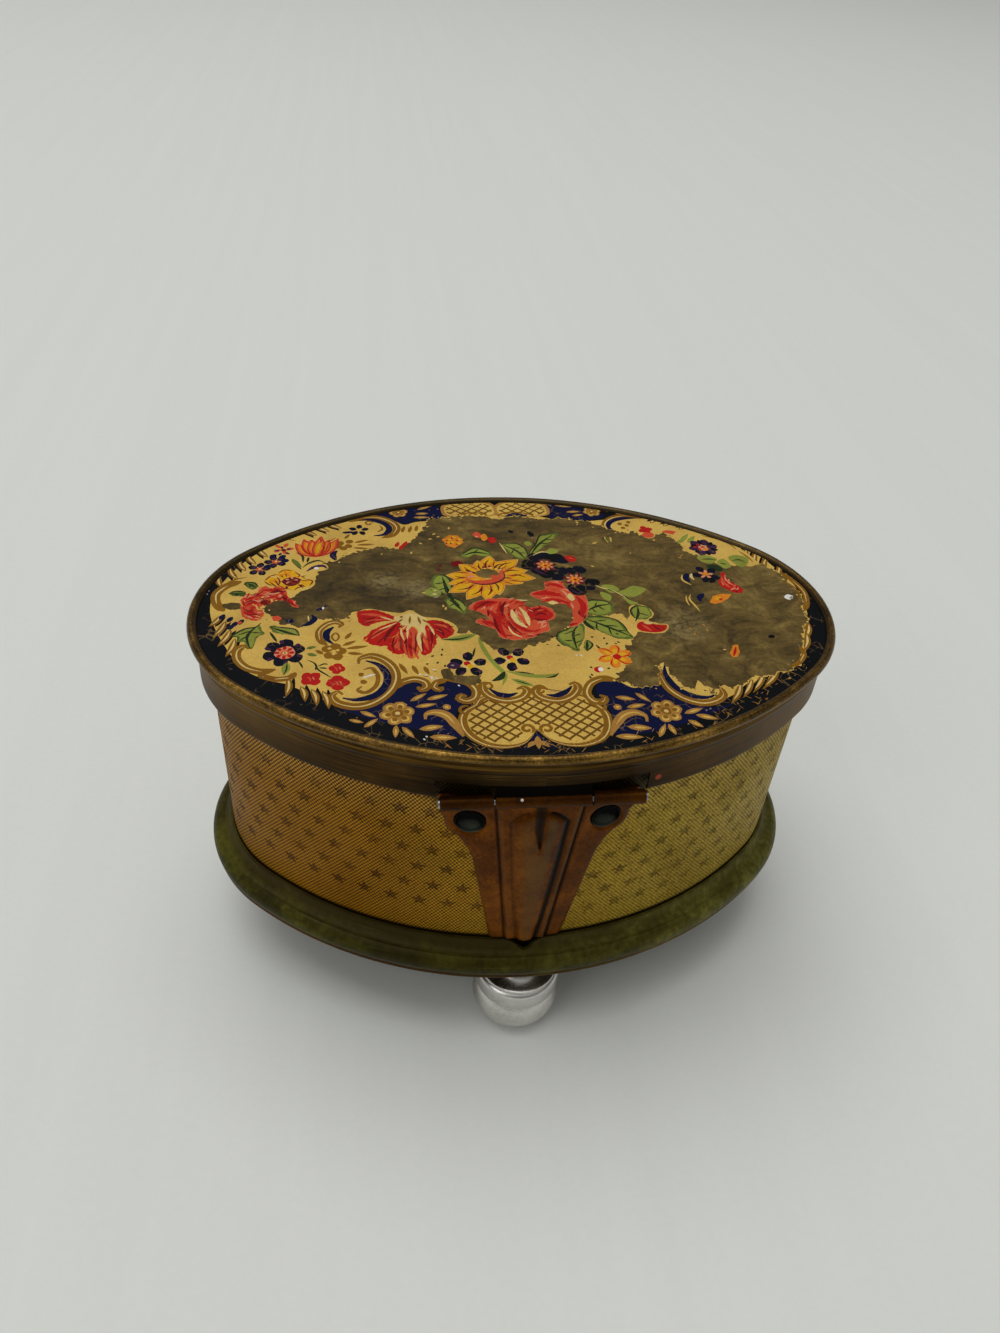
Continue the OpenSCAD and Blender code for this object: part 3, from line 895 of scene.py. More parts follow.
def curve(points, closed=False, step=0.4):
    """A smooth line through points."""
    p = np.asarray(points, float)
    n = len(p)
    out = []
    for i in range(n if closed else n - 1):
        if closed:
            a, b, c, d = p[i - 1], p[i], p[(i + 1) % n], p[(i + 2) % n]
        else:
            a, b, c, d = p[max(i - 1, 0)], p[i], p[i + 1], p[min(i + 2, n - 1)]
        count = max(2, int(np.linalg.norm(c - b) / step))
        square, cube = 2 * a - 5 * b + 4 * c - d, 3 * b - a - 3 * c + d
        for k in range(count):
            t = k / count
            out.append(0.5 * (2 * b + (c - a) * t + square * t ** 2 + cube * t ** 3))
    if not closed:
        out.append(p[-1])
    return np.array(out)


def beside(along):
    """Unit directions across a line, from the directions along it."""
    along = along / np.maximum(np.linalg.norm(along, axis=1, keepdims=True), 1e-9)
    return np.column_stack([-along[:, 1], along[:, 0]])


def blob(name, *points):
    """A rounded shape through points."""
    ink(name, curve(points, True))


def stroke(name, width, *points, taper=0.4):
    """A brush line through points, thinner towards its ends."""
    p = curve(points)
    t = np.linspace(0, 1, len(p))
    half = width / 2 * np.clip(np.minimum(t, 1 - t) / max(taper, 1e-3), 0.16, 1) ** 0.7
    side = beside(np.gradient(p, axis=0)) * half[:, None]
    ink(name, np.vstack([p + side, (p - side)[::-1]]))


def leaf(name, width, x0, y0, x1, y1, bend=0.0):
    """A pointed leaf from its stalk to its tip."""
    a, b = np.array([x0, y0], float), np.array([x1, y1], float)
    side = np.array([-(b - a)[1], (b - a)[0]]) / np.linalg.norm(b - a)
    t = np.linspace(0, 1, max(7, int(np.linalg.norm(b - a) / 0.45)))
    spine = a + np.outer(t, b - a) + np.outer(np.sin(math.pi * t) * bend, side)
    half = width / 2 * np.sin(math.pi * t ** 0.85) ** 0.85
    ink(name, np.vstack([spine + side * half[:, None], (spine - side * half[:, None])[::-1][1:-1]]))


def spot(name, x, y, r, ry=None, turn=0.0):
    """A dab of colour, not quite round."""
    ry = r if ry is None else ry
    a = np.linspace(0, 2 * math.pi, max(9, int(14 * max(r, ry) ** 0.5)), endpoint=False)
    wob = np.array([1 + 0.2 * rough(x + 2 * math.cos(v), y + 2 * math.sin(v), 0.5) for v in a])
    px, py = r * np.cos(a) * wob, ry * np.sin(a) * wob
    c, s = math.cos(math.radians(turn)), math.sin(math.radians(turn))
    ink(name, np.column_stack([x + px * c - py * s, y + px * s + py * c]))


def blobs(name, *outlines):
    """Several rounded shapes in one ink."""
    for points in outlines:
        blob(name, *points)


def strokes(name, width, taper, *lines):
    """Several brush lines with one brush."""
    for points in lines:
        stroke(name, width, *points, taper=taper)


def leaves(name, width, *ends):
    """Several leaves of one kind."""
    for stalk_and_tip in ends:
        leaf(name, width, *stalk_and_tip)


def spots(name, places, *size):
    """Several dabs of one size."""
    for x, y in places:
        spot(name, x, y, *size)


def gold_leaf(width, x0, y0, x1, y1):
    """A leaf with a pale core."""
    leaf("tan", width, x0, y0, x1, y1)
    dx, dy = x1 - x0, y1 - y0
    leaf("cream", width * 0.35, x0 + 0.25 * dx, y0 + 0.25 * dy, x0 + 0.8 * dx, y0 + 0.8 * dy)


def curl(name, width, x, y, r, start, sweep):
    """A line that rolls up into a curl."""
    t = np.linspace(0, 1, 14)
    a = np.radians(start + sweep * t)
    radius = r * (1 - 0.7 * t)
    stroke(name, width, *np.column_stack([x + radius * np.cos(a), y + radius * np.sin(a)]), taper=0.12)


def scroll(*points, width=1.15):
    """The double line of the scrolls: ochre with a pale core."""
    stroke("ochre", width * 1.35, *points, taper=0.12)
    stroke("pale", width * 0.24, *points[1:-1], taper=0.3)


def ragged(loop, size, pitch=TORN_PITCH, seed=0.0):
    """The loop with a torn edge."""
    p = finely(np.asarray(loop, float), pitch)
    side = beside(np.roll(p, -1, 0) - np.roll(p, 1, 0))
    push = [rough(x * 0.8, y * 0.8, seed) + 0.7 * rough(x * 2.3, y * 2.3, seed + 5) for x, y in p]
    return p + side * size * np.array(push)[:, None]


def torn(name, size, seed, *points):
    """A rounded shape with a torn edge."""
    ink(name, ragged(curve(points, True), size, TORN_PITCH, seed))


def chip(name, size, seed, *points):
    """A straight-sided shape with a torn edge."""
    ink(name, ragged(points, size, TORN_PITCH, seed))


def grown(points, mid, wide, tall):
    """An outline made larger about a middle."""
    return [(mid[0] + (x - mid[0]) * wide, mid[1] + (y - mid[1]) * tall) for x, y in points]


def ruffle(region, mid, names, count, seed, reach=1.4, width=0.34, spin=90.0):
    """Short brush lines inside a shape, turned about its middle."""
    pick = random.Random(seed)
    loop = curve(region, True)
    low, high = loop.min(0), loop.max(0)
    made = 0
    while made < count:
        x, y = pick.uniform(low[0], high[0]), pick.uniform(low[1], high[1])
        if not within(loop, [(x, y)])[0]:
            continue
        made += 1
        a = math.atan2(y - mid[1], x - mid[0]) + math.radians(spin + pick.uniform(-22, 22))
        r = reach * pick.uniform(0.5, 1.0)
        c, s = math.cos(a) * r / 2, math.sin(a) * r / 2
        b = pick.uniform(-0.3, 0.3)
        line = (x - c, y - s), (x - s * b, y + c * b), (x + c, y + s)
        stroke(pick.choice(names), width * pick.uniform(0.6, 1.2), *line, taper=0.45)


def gold_flower(x, y, r):
    """A six-petalled flower in gold."""
    turns = [math.radians(60 * k + 12) for k in range(6)]
    for a in turns:
        spot("tan", x + 0.62 * r * math.cos(a), y + 0.62 * r * math.sin(a), 0.42 * r)
    for a in turns:
        px, py = x + 0.66 * r * math.cos(a), y + 0.66 * r * math.sin(a)
        spot("cream", px, py, 0.24 * r)
        spot("ochre", px - 0.1 * r * math.cos(a), py - 0.1 * r * math.sin(a), 0.17 * r)
    spot("ochre", x, y, 0.34 * r)
    spot("pale", x, y, 0.15 * r)


def petals(name, x, y, reach, size, count, turn=0.0, flat=0.72):
    """Dabs in a ring, each pointing outwards."""
    for k in range(count):
        a = turn + 360 * k / count
        c, s = math.cos(math.radians(a)), math.sin(math.radians(a))
        spot(name, x + reach * c, y + reach * s, size, size * flat, a)


def veined(points, spine, veins, name="green"):
    """A leaf with its dark spine and side veins."""
    torn("shade" if name == "olive" else "olive", 0.3, points[0][0], *points)
    mid = np.mean(np.array(points, float), 0) + (0.12, 0.16)
    torn(name, 0.28, points[0][1], *[mid + (np.array(p) - mid) * 0.84 for p in points])
    stroke("shade", 0.34, *points[:len(points) // 2 + 1], taper=0.3)
    stroke("shade", 0.6, *spine, taper=0.5)
    strokes("shade", 0.42, 0.6, *veins)


def lattice(region):
    """Crossed lines inside an outline."""
    region = curve(region, True)
    for rise in (LATTICE_RISE, -LATTICE_RISE):
        side = np.array([-rise, 1.0]) / math.hypot(rise, 1.0) * LATTICE_HALF
        offset = -70.0
        while offset < 70:
            xs = []
            for (x0, y0), (x1, y1) in zip(region, np.roll(region, -1, 0)):
                d0, d1 = y0 - rise * x0 - offset, y1 - rise * x1 - offset
                if d0 * d1 < 0:
                    xs.append(x0 + (x1 - x0) * d0 / (d0 - d1))
            xs.sort()
            for a, b in zip(xs[::2], xs[1::2]):
                if b - a > 0.5:
                    slant = np.array([[a, rise * a + offset], [b, rise * b + offset]])
                    ink("umber", np.vstack([slant + side, (slant - side)[::-1]]))
            offset += LATTICE_STEP


def border():
    """Navy fields, the cream ground and the feathers along its edge."""
    blob("navy", (-33, -27), (-30, -27.8), (-27, -26.8), (-24.8, -24), (-22.5, -21.8), (-20, -21),
         (-17, -22.6), (-14, -21.2), (-11.2, -22.4), (-10.3, -25), (-12.5, -27), (-14, -29), (-14, -33),
         (-13, -34.8), (-16, -34.2), (-21, -32.6), (-26, -30.8), (-30, -29))
    blob("navy", (10, -24), (12, -21.8), (14, -22.4), (17, -24), (20, -23.2), (22, -24.5), (24, -27.5),
         (27, -29), (30, -29.3), (33, -28.5), (29, -30.6), (24, -32.8), (18.5, -34.6), (13, -35.4),
         (11, -34.8), (11.5, -33), (11.5, -30), (10.5, -27))
    blob("navy", (-24.4, 30.6), (-22, 29), (-20, 28.5), (-18, 29.4), (-15, 30), (-12.4, 30.2),
         (-12.5, 33), (-13.6, 36), (-18, 35.4), (-22, 34), (-26, 32.2))
    blob("navy", (10, 30.5), (13, 30.1), (17, 29.4), (20, 30), (22, 31.4), (19, 34.4), (14, 36),
         (10.8, 36), (10.4, 33))
    blob("cream", (-56, 0.5), (-55.4, -3), (-54, -7), (-52.4, -10.5), (-50.6, -14), (-48.2, -17.4),
         (-44.8, -19.8), (-41.5, -21), (-39, -22.6), (-36.5, -24.4), (-34, -25.8), (-30.5, -27.2),
         (-27.4, -26.2), (-25, -23.6), (-23.6, -21.6), (-21, -20.6), (-18.8, -21.2), (-17, -22),
         (-15, -21), (-12.4, -21.2), (-10.4, -22.6), (-10, -25), (-11, -27), (-10, -30), (-5, -33),
         (-1.4, -33), (3, -33), (8, -30), (9, -27), (8.5, -24.5), (9.4, -22.2), (11.5, -21.2), (14, -22),
         (16.5, -24), (19.5, -23.2), (21.8, -23.6), (23.6, -26.8), (26.6, -28.6), (29.5, -28.6),
         (32, -27.2), (35, -25.6), (38.5, -24), (42, -22.2), (46, -20), (49, -17), (51.4, -13), (53, -9),
         (54.2, -5), (55, -1), (55.2, 3), (54.6, 7), (53.2, 11), (51.4, 15), (48.4, 19), (45, 22.2),
         (40.5, 25), (36, 27.2), (32, 29.2), (28.5, 31), (25, 31.2), (22, 29.8), (20, 29.4), (17, 29),
         (12, 29.6), (9, 30.6), (4.5, 32.5), (-1, 31.6), (-6, 32.2), (-11, 31.2), (-14.5, 29.6),
         (-18, 29), (-20.5, 28), (-22.8, 29.8), (-25.5, 31), (-29, 31), (-32.5, 29), (-37, 26.7),
         (-41, 24.6), (-45.5, 21.4), (-49.3, 17.4), (-52.2, 13.2), (-54.4, 8.5), (-55.8, 4.5))
    feathers = [(-54.2, -2.6, -55.4, -4.8), (-53.2, -4.6, -54.4, -7.8), (-52.1, -7, -53.3, -10.2),
                (-51, -9.6, -51.8, -13), (-41.2, -20.4, -41.3, -23.6), (-38.9, -22.4, -38.3, -25),
                (-37.1, -23.2, -36.4, -26), (-35.3, -23.8, -34.5, -26.8), (-54.9, 7.6, -55.4, 10.4),
                (-52.4, 10, -53.8, 13), (-51, 12.6, -52.3, 15.4), (-49.4, 14.8, -50.9, 17.4),
                (-47.4, 17.2, -49, 19.6), (-38.4, 24.6, -40.4, 26.4), (-36, 26, -38, 27.6),
                (-33.6, 27.2, -35.8, 28.6), (48.4, 14.6, 49.4, 18.4), (49.6, 13.2, 51, 17),
                (51, 11.2, 52.4, 14.8), (53.4, 9, 54.8, 12.4), (53.6, -4.6, 52.2, -8.4),
                (53.2, -8, 51.4, -11.4), (51.8, -11, 50.2, -14.6), (42.8, -20.6, 39.6, -24.4),
                (39.8, -21.8, 37, -25.6), (37.2, -23.4, 34.6, -27), (35, -24.4, 32.8, -28),
                (31.8, 28.6, 33.6, 30), (34.4, 27.4, 36.6, 28.8), (37.4, 26, 39.4, 27.2),
                (40.4, 24.6, 42.4, 25.6)]
    for x0, y0, x1, y1 in feathers:
        dx, dy = x1 - x0, y1 - y0
        sx, sy = np.array([-dy, dx]) / math.hypot(dx, dy)
        leaf("dark", 1.0, x1 + sx, y1 + sy, x0 - 0.35 * dx + sx, y0 - 0.35 * dy + sy, 0.2)
        leaf("ochre", 1.25, x0 - 0.3 * dx, y0 - 0.3 * dy, x1 + 0.2 * dx, y1 + 0.2 * dy, 0.3)
        leaf("pale", 0.4, x0 - 0.2 * dx, y0 - 0.2 * dy, x1 - 0.05 * dx, y1 - 0.05 * dy, 0.3)


def front_cartouche():
    """The latticed frame on the hinge side, with its curls and scrolls."""
    outline = [(-9.6, -25.4), (-11, -27.2), (-12.8, -28.6), (-13.7, -30.4), (-13.5, -33), (-12.1, -35.4),
               (-9.7, -37.1), (-6.6, -37.6), (-4, -36.9), (-2.4, -35.3), (-1.4, -33.7), (-0.5, -34.9),
               (1, -36.5), (3.5, -37.6), (6.5, -37.6), (9.3, -36.3), (10.9, -33.9), (11.3, -31),
               (10.7, -29), (9.5, -27.4), (8.6, -25.4), (5, -24.6), (0, -23.6), (-5, -24.6)]
    mid = (-1.3, -30.5)
    for name, size in (("ochre", 1.005), ("pale", 0.97), ("ochre", 0.952), ("cream", 0.885)):
        blob(name, *grown(outline, mid, size, size))
    lattice([(-9.6, -26.8), (-11.8, -29.6), (-12, -32.5), (-10.8, -34.8), (-8.5, -36), (-6, -36),
            (-4, -34.8), (-3, -33), (-1.4, -32.2), (0.2, -33), (1.2, -34.6), (3.5, -36), (6.4, -36),
            (8.6, -34.8), (9.7, -32.6), (9.6, -30), (8, -27), (6, -26.4), (3, -27.2), (0.2, -25.6),
            (-2.6, -25.6), (-5.4, -27.2), (-8, -26.2)])
    for x, y, start, sweep in ((-2.9, -33.3, 300, 420), (0.3, -33.4, 240, -420)):
        spot("cream", x, y, 1.15)
        curl("ochre", 0.62, x, y, 1.15, start, sweep)
    blob("cream", (-9.4, -22.2), (-5.3, -24), (-1.9, -23.2), (-2.1, -25), (-5.3, -26.5), (-8.6, -25))
    scroll((-7.6, -21.9), (-9, -22.2), (-9, -24), (-7.6, -25.7), (-5.2, -26.5), (-2.8, -25.8),
           (-1.7, -24.2), (-2.4, -23.2), (-3.4, -23.7))
    curl("ochre", 0.45, -8.2, -22.8, 0.95, 120, -330)
    stroke("navy", 1.2, (-8, -23.4), (-6.6, -24.8), (-5, -25.2), (-3.4, -24.6))
    blob("cream", (0.2, -23.4), (3.4, -24.6), (6.8, -22.8), (6.2, -25), (3.4, -26.6), (0.8, -25.4))
    scroll((1.8, -23.9), (0.6, -23.2), (-0.4, -24.4), (0.6, -26), (3.2, -26.8), (5.6, -25.8), (7, -23.8),
           (6.6, -22.4), (5.6, -22.8))
    curl("ochre", 0.45, 0.7, -24.2, 0.85, 60, 330)
    stroke("navy", 1.2, (1.4, -25.2), (3, -25.5), (4.8, -24.6), (6, -23.2))
    scroll((-15, -21), (-13.4, -20.9), (-11.4, -21.8), (-10.3, -23.6), (-10.6, -25.5), (-12, -26.3),
           (-13.2, -25.6), (-12.7, -24.8), (-11.9, -25.2))
    scroll((-15, -21), (-16.6, -21.4), (-17.2, -22.6), (-16.3, -23.3), (-15.7, -22.6), width=0.95)
    scroll((-24, -22.8), (-22.4, -21.2), (-20.4, -20.5), (-18.7, -21.2), (-18.4, -22.6), (-19.4, -23.2),
           (-19.9, -22.4))
    scroll((14.2, -22), (11.6, -21.4), (9.4, -22.6), (8.3, -25), (9, -27), (10.6, -27.3), (11.2, -26.2),
           (10.3, -25.7))
    for points in (((-19, -30.4), (-18.8, -29.2), (-17.4, -28.8), (-15.6, -29.6), (-14.4, -31.6),
            (-13.2, -34.6)), ((17, -32.4), (17, -31), (15.4, -30.1), (13.4, -30.8), (11.8, -32.8),
            (10.4, -35.4))):
        stroke("tan", 1.7, *points, taper=0.35)
        stroke("cream", 0.4, *points[1:5])
    for x, y, start, sweep in ((-12.4, -28.6, 60, 330), (9.9, -28.6, 120, -330)):
        curl("ochre", 0.55, x, y, 1.2, start, sweep)
    stroke("navy", 0.6, (-3.9, -38.2), (-2.4, -36.2), (-1.5, -34.6), (-0.6, -36.2), (0.9, -38.2),
           taper=0.1)
    leaf("tan", 1.1, -1.5, -35, -1.6, -38, 0)
    leaf("tan", 0.9, -1.6, -36.2, -3.4, -37.6, -0.2)
    leaf("tan", 0.9, -1.6, -36.2, 0.2, -37.6, 0.2)


def back_cartouche():
    """The two latticed fields on the opening side."""
    for x in (-6.6, 4.6):
        blob("tan", (x - 6, 33.4), (x - 5.6, 35.6), (x - 3, 37.4), (x + 1, 37.8), (x + 4.6, 36.6),
             (x + 5.8, 34.4), (x + 5.2, 31.6), (x, 30.8), (x - 5, 31.2))
        blob("cream", (x - 5.3, 33.4), (x - 5, 35.2), (x - 2.7, 36.8), (x + 1, 37.1), (x + 4.1, 36.1),
             (x + 5.1, 34.2), (x + 4.6, 31.8), (x, 31.2), (x - 4.4, 31.6))
        lattice([(x - 4.9, 33.4), (x - 4.6, 35), (x - 2.5, 36.4), (x + 1, 36.6), (x + 3.8, 35.8),
                (x + 4.7, 34.2), (x + 4.2, 32.2), (x, 31.6), (x - 4, 32)])
    stroke("navy", 1.3, (0.6, 31), (2.8, 31.9), (5.4, 31.2))
    stroke("ochre", 0.5, (-0.4, 30.4), (-0.6, 31.8), (2.6, 32.8), (6.2, 31.8), (6.8, 30.4), taper=0.2)
    stroke("ochre", 0.5, (-9.6, 31), (-7.4, 32.4), (-4.4, 32.4), (-2.6, 31.2), taper=0.2)


def gold_sprays():
    """Gold flowers and leaves on the navy fields."""
    gold_flower(-23.4, -28.8, 2.75)
    gold_flower(20.8, -30, 2.7)
    gold_flower(-21.5, 32.8, 1.9)
    gold_flower(19.5, 33, 1.9)
    for width, x0, y0, x1, y1 in ((0.95, -21.3, -26, -18.5, -24.1), (1, -18.6, -25.7, -15, -24.6),
            (0.95, -20.5, -27.4, -17, -26.8), (1.3, -20.1, -32.7, -16.2, -32.1),
            (1.3, -18.6, -34.5, -14.2, -34.9), (1, -23.7, -31.6, -23.9, -34.5),
            (1, -22.8, -32, -20.9, -34.7), (0.95, -29.4, -28.1, -26.8, -29.6),
            (0.95, -28.8, -31.9, -26.5, -29.9), (0.8, -31.2, -30, -28.8, -30.8),
            (1.1, 12.9, -26.2, 16.3, -27), (1.1, 14.3, -28.9, 17.7, -28.2),
            (0.95, 16.5, -25.3, 18.7, -27.7), (1.4, 13.5, -33.5, 17.5, -34),
            (1.3, 11.1, -35.6, 15.7, -36), (1, 18.2, -36.1, 19.9, -33.1), (1, 20.4, -33.1, 21.1, -35.7),
            (1.1, 23.7, -30.7, 27.1, -29.6), (1.2, 25.5, -31.1, 29.1, -32.3),
            (1.1, 23.9, -32.3, 26.1, -34.1), (0.9, -17.6, 33.8, -14.4, 35.5),
            (0.9, -18, 32.2, -15.2, 32.4), (0.9, -18.5, 30.8, -15, 30.8), (0.8, -20.3, 35.7, -19.6, 34.1),
            (0.8, -25.7, 33.7, -24, 32.7), (0.7, -28.6, 32.3, -26, 32.4), (0.9, 11.8, 35.6, 15.6, 34.9),
            (0.9, 13.9, 32.8, 17, 33), (0.8, 15, 31.3, 17.5, 31.8), (0.8, 17.1, 36.4, 18.5, 35.1),
            (0.8, 22, 33.4, 24.6, 33), (0.8, 24.5, 32.1, 27, 32.4)):
        gold_leaf(width, x0, y0, x1, y1)
    for x, y in ((-15.4, -27.6), (12.8, -28.7)):
        spot("tan", x, y, 0.7)
        spot("cream", x, y, 0.3)


def scrolls():
    """Scrolled lines round the cream ground."""
    scroll((-29.6, -16.2), (-29.4, -14.8), (-27.6, -14.1), (-25.6, -15), (-23.9, -17.2), (-23.4, -20),
           (-24.4, -23.2), (-27, -26), (-30, -27), (-33, -26), (-33.9, -24.2), (-32.9, -23.2),
           (-32.2, -24), width=1.25)
    stroke("navy", 1.35, (-28.4, -15.4), (-26.2, -16.6), (-24.9, -19.2), (-25.2, -22), (-27, -24.4),
           (-30, -25.3), (-32.2, -24.8), taper=0.25)
    stroke("ochre", 0.8, (-28.8, -17.8), (-27.4, -17.4), (-26.4, -19.6), (-26.8, -22), (-28.4, -23.6),
           (-29.8, -22.9), (-29, -22), taper=0.15)
    spot("ochre", -29.2, -19, 0.5)
    spot("ochre", -28.8, -20.9, 0.6)
    stroke("white", 0.4, (-26.8, -19), (-28, -19.4), (-29, -20), taper=0.3)
    scroll((22.4, -18.6), (21.9, -21), (22.6, -24.4), (24.6, -27), (27.4, -28.3), (30, -27.8),
           (31.6, -26.4), (31.6, -24.8), (30.6, -24.6), width=1.2)
    stroke("navy", 1.2, (23.3, -18.2), (22.9, -21), (24, -24.4), (26.4, -26.5), (29, -26.9),
           (30.6, -25.8), taper=0.3)
    scroll((-33.2, -6), (-32.6, -5.2), (-33.6, -4.4), (-35.2, -5), (-36.5, -7), (-36.3, -9.4), (-35, -11),
           width=0.95)
    stroke("navy", 1.25, (-34, -5.8), (-35.2, -7.4), (-35, -9.4), (-34, -10.6), taper=0.35)
    stroke("ochre", 0.4, (-33.6, -7.4), (-34.3, -8.6), (-33.6, -9.8), (-33, -8.6), (-33.6, -7.4),
           taper=0.02)
    leaf("ochre", 0.8, -32, -9.4, -30.8, -7.4)
    spots("ochre", [(-35, -12), (-34.6, -13.8), (-33.2, -14.2), (-32.6, -12.6), (-33.6, -11.4)], 0.95)
    spots("cream", [(-34.6, -11.9), (-33.2, -12.4), (-33.9, -13.4)], 0.33)
    leaves("ochre", 0.85, (-32.4, -11.2, -30, -9.8), (-31.8, -12, -27.9, -11.4),
           (-31.6, -13.2, -28.8, -13.6), (-35.6, -13.4, -37, -12.2), (-22.8, -16.2, -21.4, -19.2),
           (-20.6, -16.8, -19.6, -19.4), (-18.6, -17.2, -17.8, -19.4))
    scroll((-48.2, -11.6), (-49, -10.8), (-50.1, -12), (-49.9, -14.4), (-48.2, -16.6), (-45.6, -17.7),
           (-43.4, -17.2))
    scroll((-46.2, -18.5), (-43.4, -19.7), (-41, -19.4), (-40, -18.1), width=0.95)
    scroll((-51.2, 8.4), (-53.6, 7.2), (-55.3, 4.6), (-55, 1.6), (-53.4, -0.7), width=1.3)
    stroke("ochre", 0.45, (-50.4, 9.8), (-52.6, 9), (-54.2, 7.4))
    scroll((-31.6, 29.2), (-28.6, 30.8), (-25.6, 30.7), (-23, 29), (-22, 26.8), (-22.8, 24.4),
           (-25, 23.1), width=1.2)
    stroke("navy", 1.3, (-29.6, 29.7), (-27, 29.9), (-24.4, 28.4), (-23.5, 26.4), (-24.5, 24.4),
           (-26.6, 23.9), taper=0.3)
    curl("ochre", 0.45, -27.6, 28.6, 0.9, 0, 400)
    stroke("ochre", 0.5, (-25.4, 27.8), (-24.9, 26.4), (-26, 25.2))
    leaves("ochre", 0.75, (-21, 25, -20.4, 27.6), (-19.6, 25, -19, 27.6), (-18.2, 25.4, -17.8, 27.8),
           (-30.6, 21.4, -27.6, 22.4), (-30, 20.6, -26.4, 20.8), (-30.8, 19.6, -27.6, 19.2),
           (-32.4, 22.8, -31.4, 24.6))
    spots("ochre", [(-33.2, 21.2), (-31.6, 20.2), (-32.6, 19.4), (-31.4, 21.8), (-33.6, 20)], 0.75)
    scroll((30.2, 30.2), (26.6, 31.3), (23.2, 30.2), (21.4, 27.8), (21.8, 25.2), (24.5, 23.7), width=1.1)
    stroke("navy", 1.15, (28.8, 30.3), (25.4, 30.1), (22.8, 28.8), (22, 26.8), (23.2, 24.8), taper=0.3)
    spots("ochre", [(24.6, 28), (26, 27.4), (25, 26.4), (26.6, 28.6)], 0.5)
    stroke("ochre", 0.5, (40.4, 23.6), (43.6, 22.6), (46.2, 20.6), (47.2, 18.4), taper=0.3)
    stroke("ochre", 0.4, (42, 22), (44.4, 20.8), (45.8, 19))
    stroke("ochre", 0.5, (-48, 19), (-46.4, 21.4), (-44, 22.8), (-42, 22.2), taper=0.3)
    stroke("ochre", 0.45, (-41.6, 24.4), (-39.8, 25), (-38.4, 24), taper=0.3)


WORN = [(-38, 8), (-36.5, 14), (-33, 16.5), (-30, 18), (-26, 20), (-22, 19), (-19, 22), (-17.5, 25),
        (-16, 28), (-15, 30.5), (-12, 30.5), (-8, 31.5), (-3, 31), (0, 30), (3, 31.5), (6, 30.5), (9, 30),
        (13, 30.2), (18, 29), (22, 26), (24, 24.5), (27, 25), (29, 23), (33, 24.5), (35, 22), (36, 17.5),
        (42, 12.5), (47, 12), (49.5, 12.8), (52.5, 11), (54, 8), (55.3, 3), (54.8, 0), (54.2, -3),
        (53.5, -5.5), (51.5, -10), (49.8, -14), (48, -18.5), (46, -20), (42, -21.5), (38, -22), (34, -25),
        (31.6, -24), (30, -26), (27.5, -25.5), (25.4, -24), (23.6, -20), (23.2, -17.8), (22, -18.8),
        (21.6, -22), (21, -23.5), (17, -23.8), (14, -22), (14.5, -20.5), (17.5, -17), (17, -15),
        (17.5, -12.5), (19.5, -11), (19.8, -8), (19, -3.5), (14, -3), (9, -6), (5, -9.5), (4, -11),
        (0.5, -12), (-1, -13.2), (-3.5, -13.7), (-6, -13), (-7.8, -11), (-8.5, -9), (-10, -8),
        (-12, -8.5), (-13.5, -5), (-17, -4), (-20, -2.5), (-24, -2), (-27.5, -1), (-30, -1.5),
        (-31.5, -3), (-33.5, -3.8), (-36, -3.5), (-40, -5.5), (-43, -4.5), (-46, -1.5), (-47, 0),
        (-45, 2.4), (-42, 3), (-40, 6)]


def worn_ground():
    """Where the print is rubbed off to the sheet, with a thin torn fringe."""
    base = np.array(WORN, float)
    mid = np.array([8.0, 3.0])
    ink("cream", ragged(mid + (base - mid) * 1.004, 0.75, 0.24, 2.0))
    ink("bare", ragged(base, 0.75, 0.22, 2.0))
    chip("bare", 0.3, 7.0, (-16, -18), (-14.2, -18), (-13.6, -19.6), (-11.5, -20), (-9, -19.8),
         (-9.4, -22), (-11, -22.4), (-13, -21.6), (-15.6, -20.4))
    chip("bare", 0.3, 9.0, (-54, 1.4), (-52.4, 2), (-50.8, 1.6), (-50.4, 0.2), (-51.6, -0.6), (-53.4, 0))
    chip("cream", 0.25, 4.0, (27, -24.6), (28.2, -22.6), (29, -24), (30.2, -24.8), (29, -26.2),
         (27.4, -26))
    pick = random.Random(21)
    for k in range(230):
        i = pick.randrange(len(base))
        j = (i + 1) % len(base)
        t = pick.random()
        x, y = base[i] * (1 - t) + base[j] * t
        x, y = x + pick.gauss(0, 1.0), y + pick.gauss(0, 1.0)
        r = pick.uniform(0.08, 0.32)
        kind = "bare" if pick.random() < 0.6 else "cream"
        low, high = y - r * pick.uniform(0.5, 1.2), y + r * pick.uniform(0.5, 1.2)
        ink(kind, ragged([(x - r, y), (x, low), (x + r, y), (x, high)], 0.1, 0.25, k))


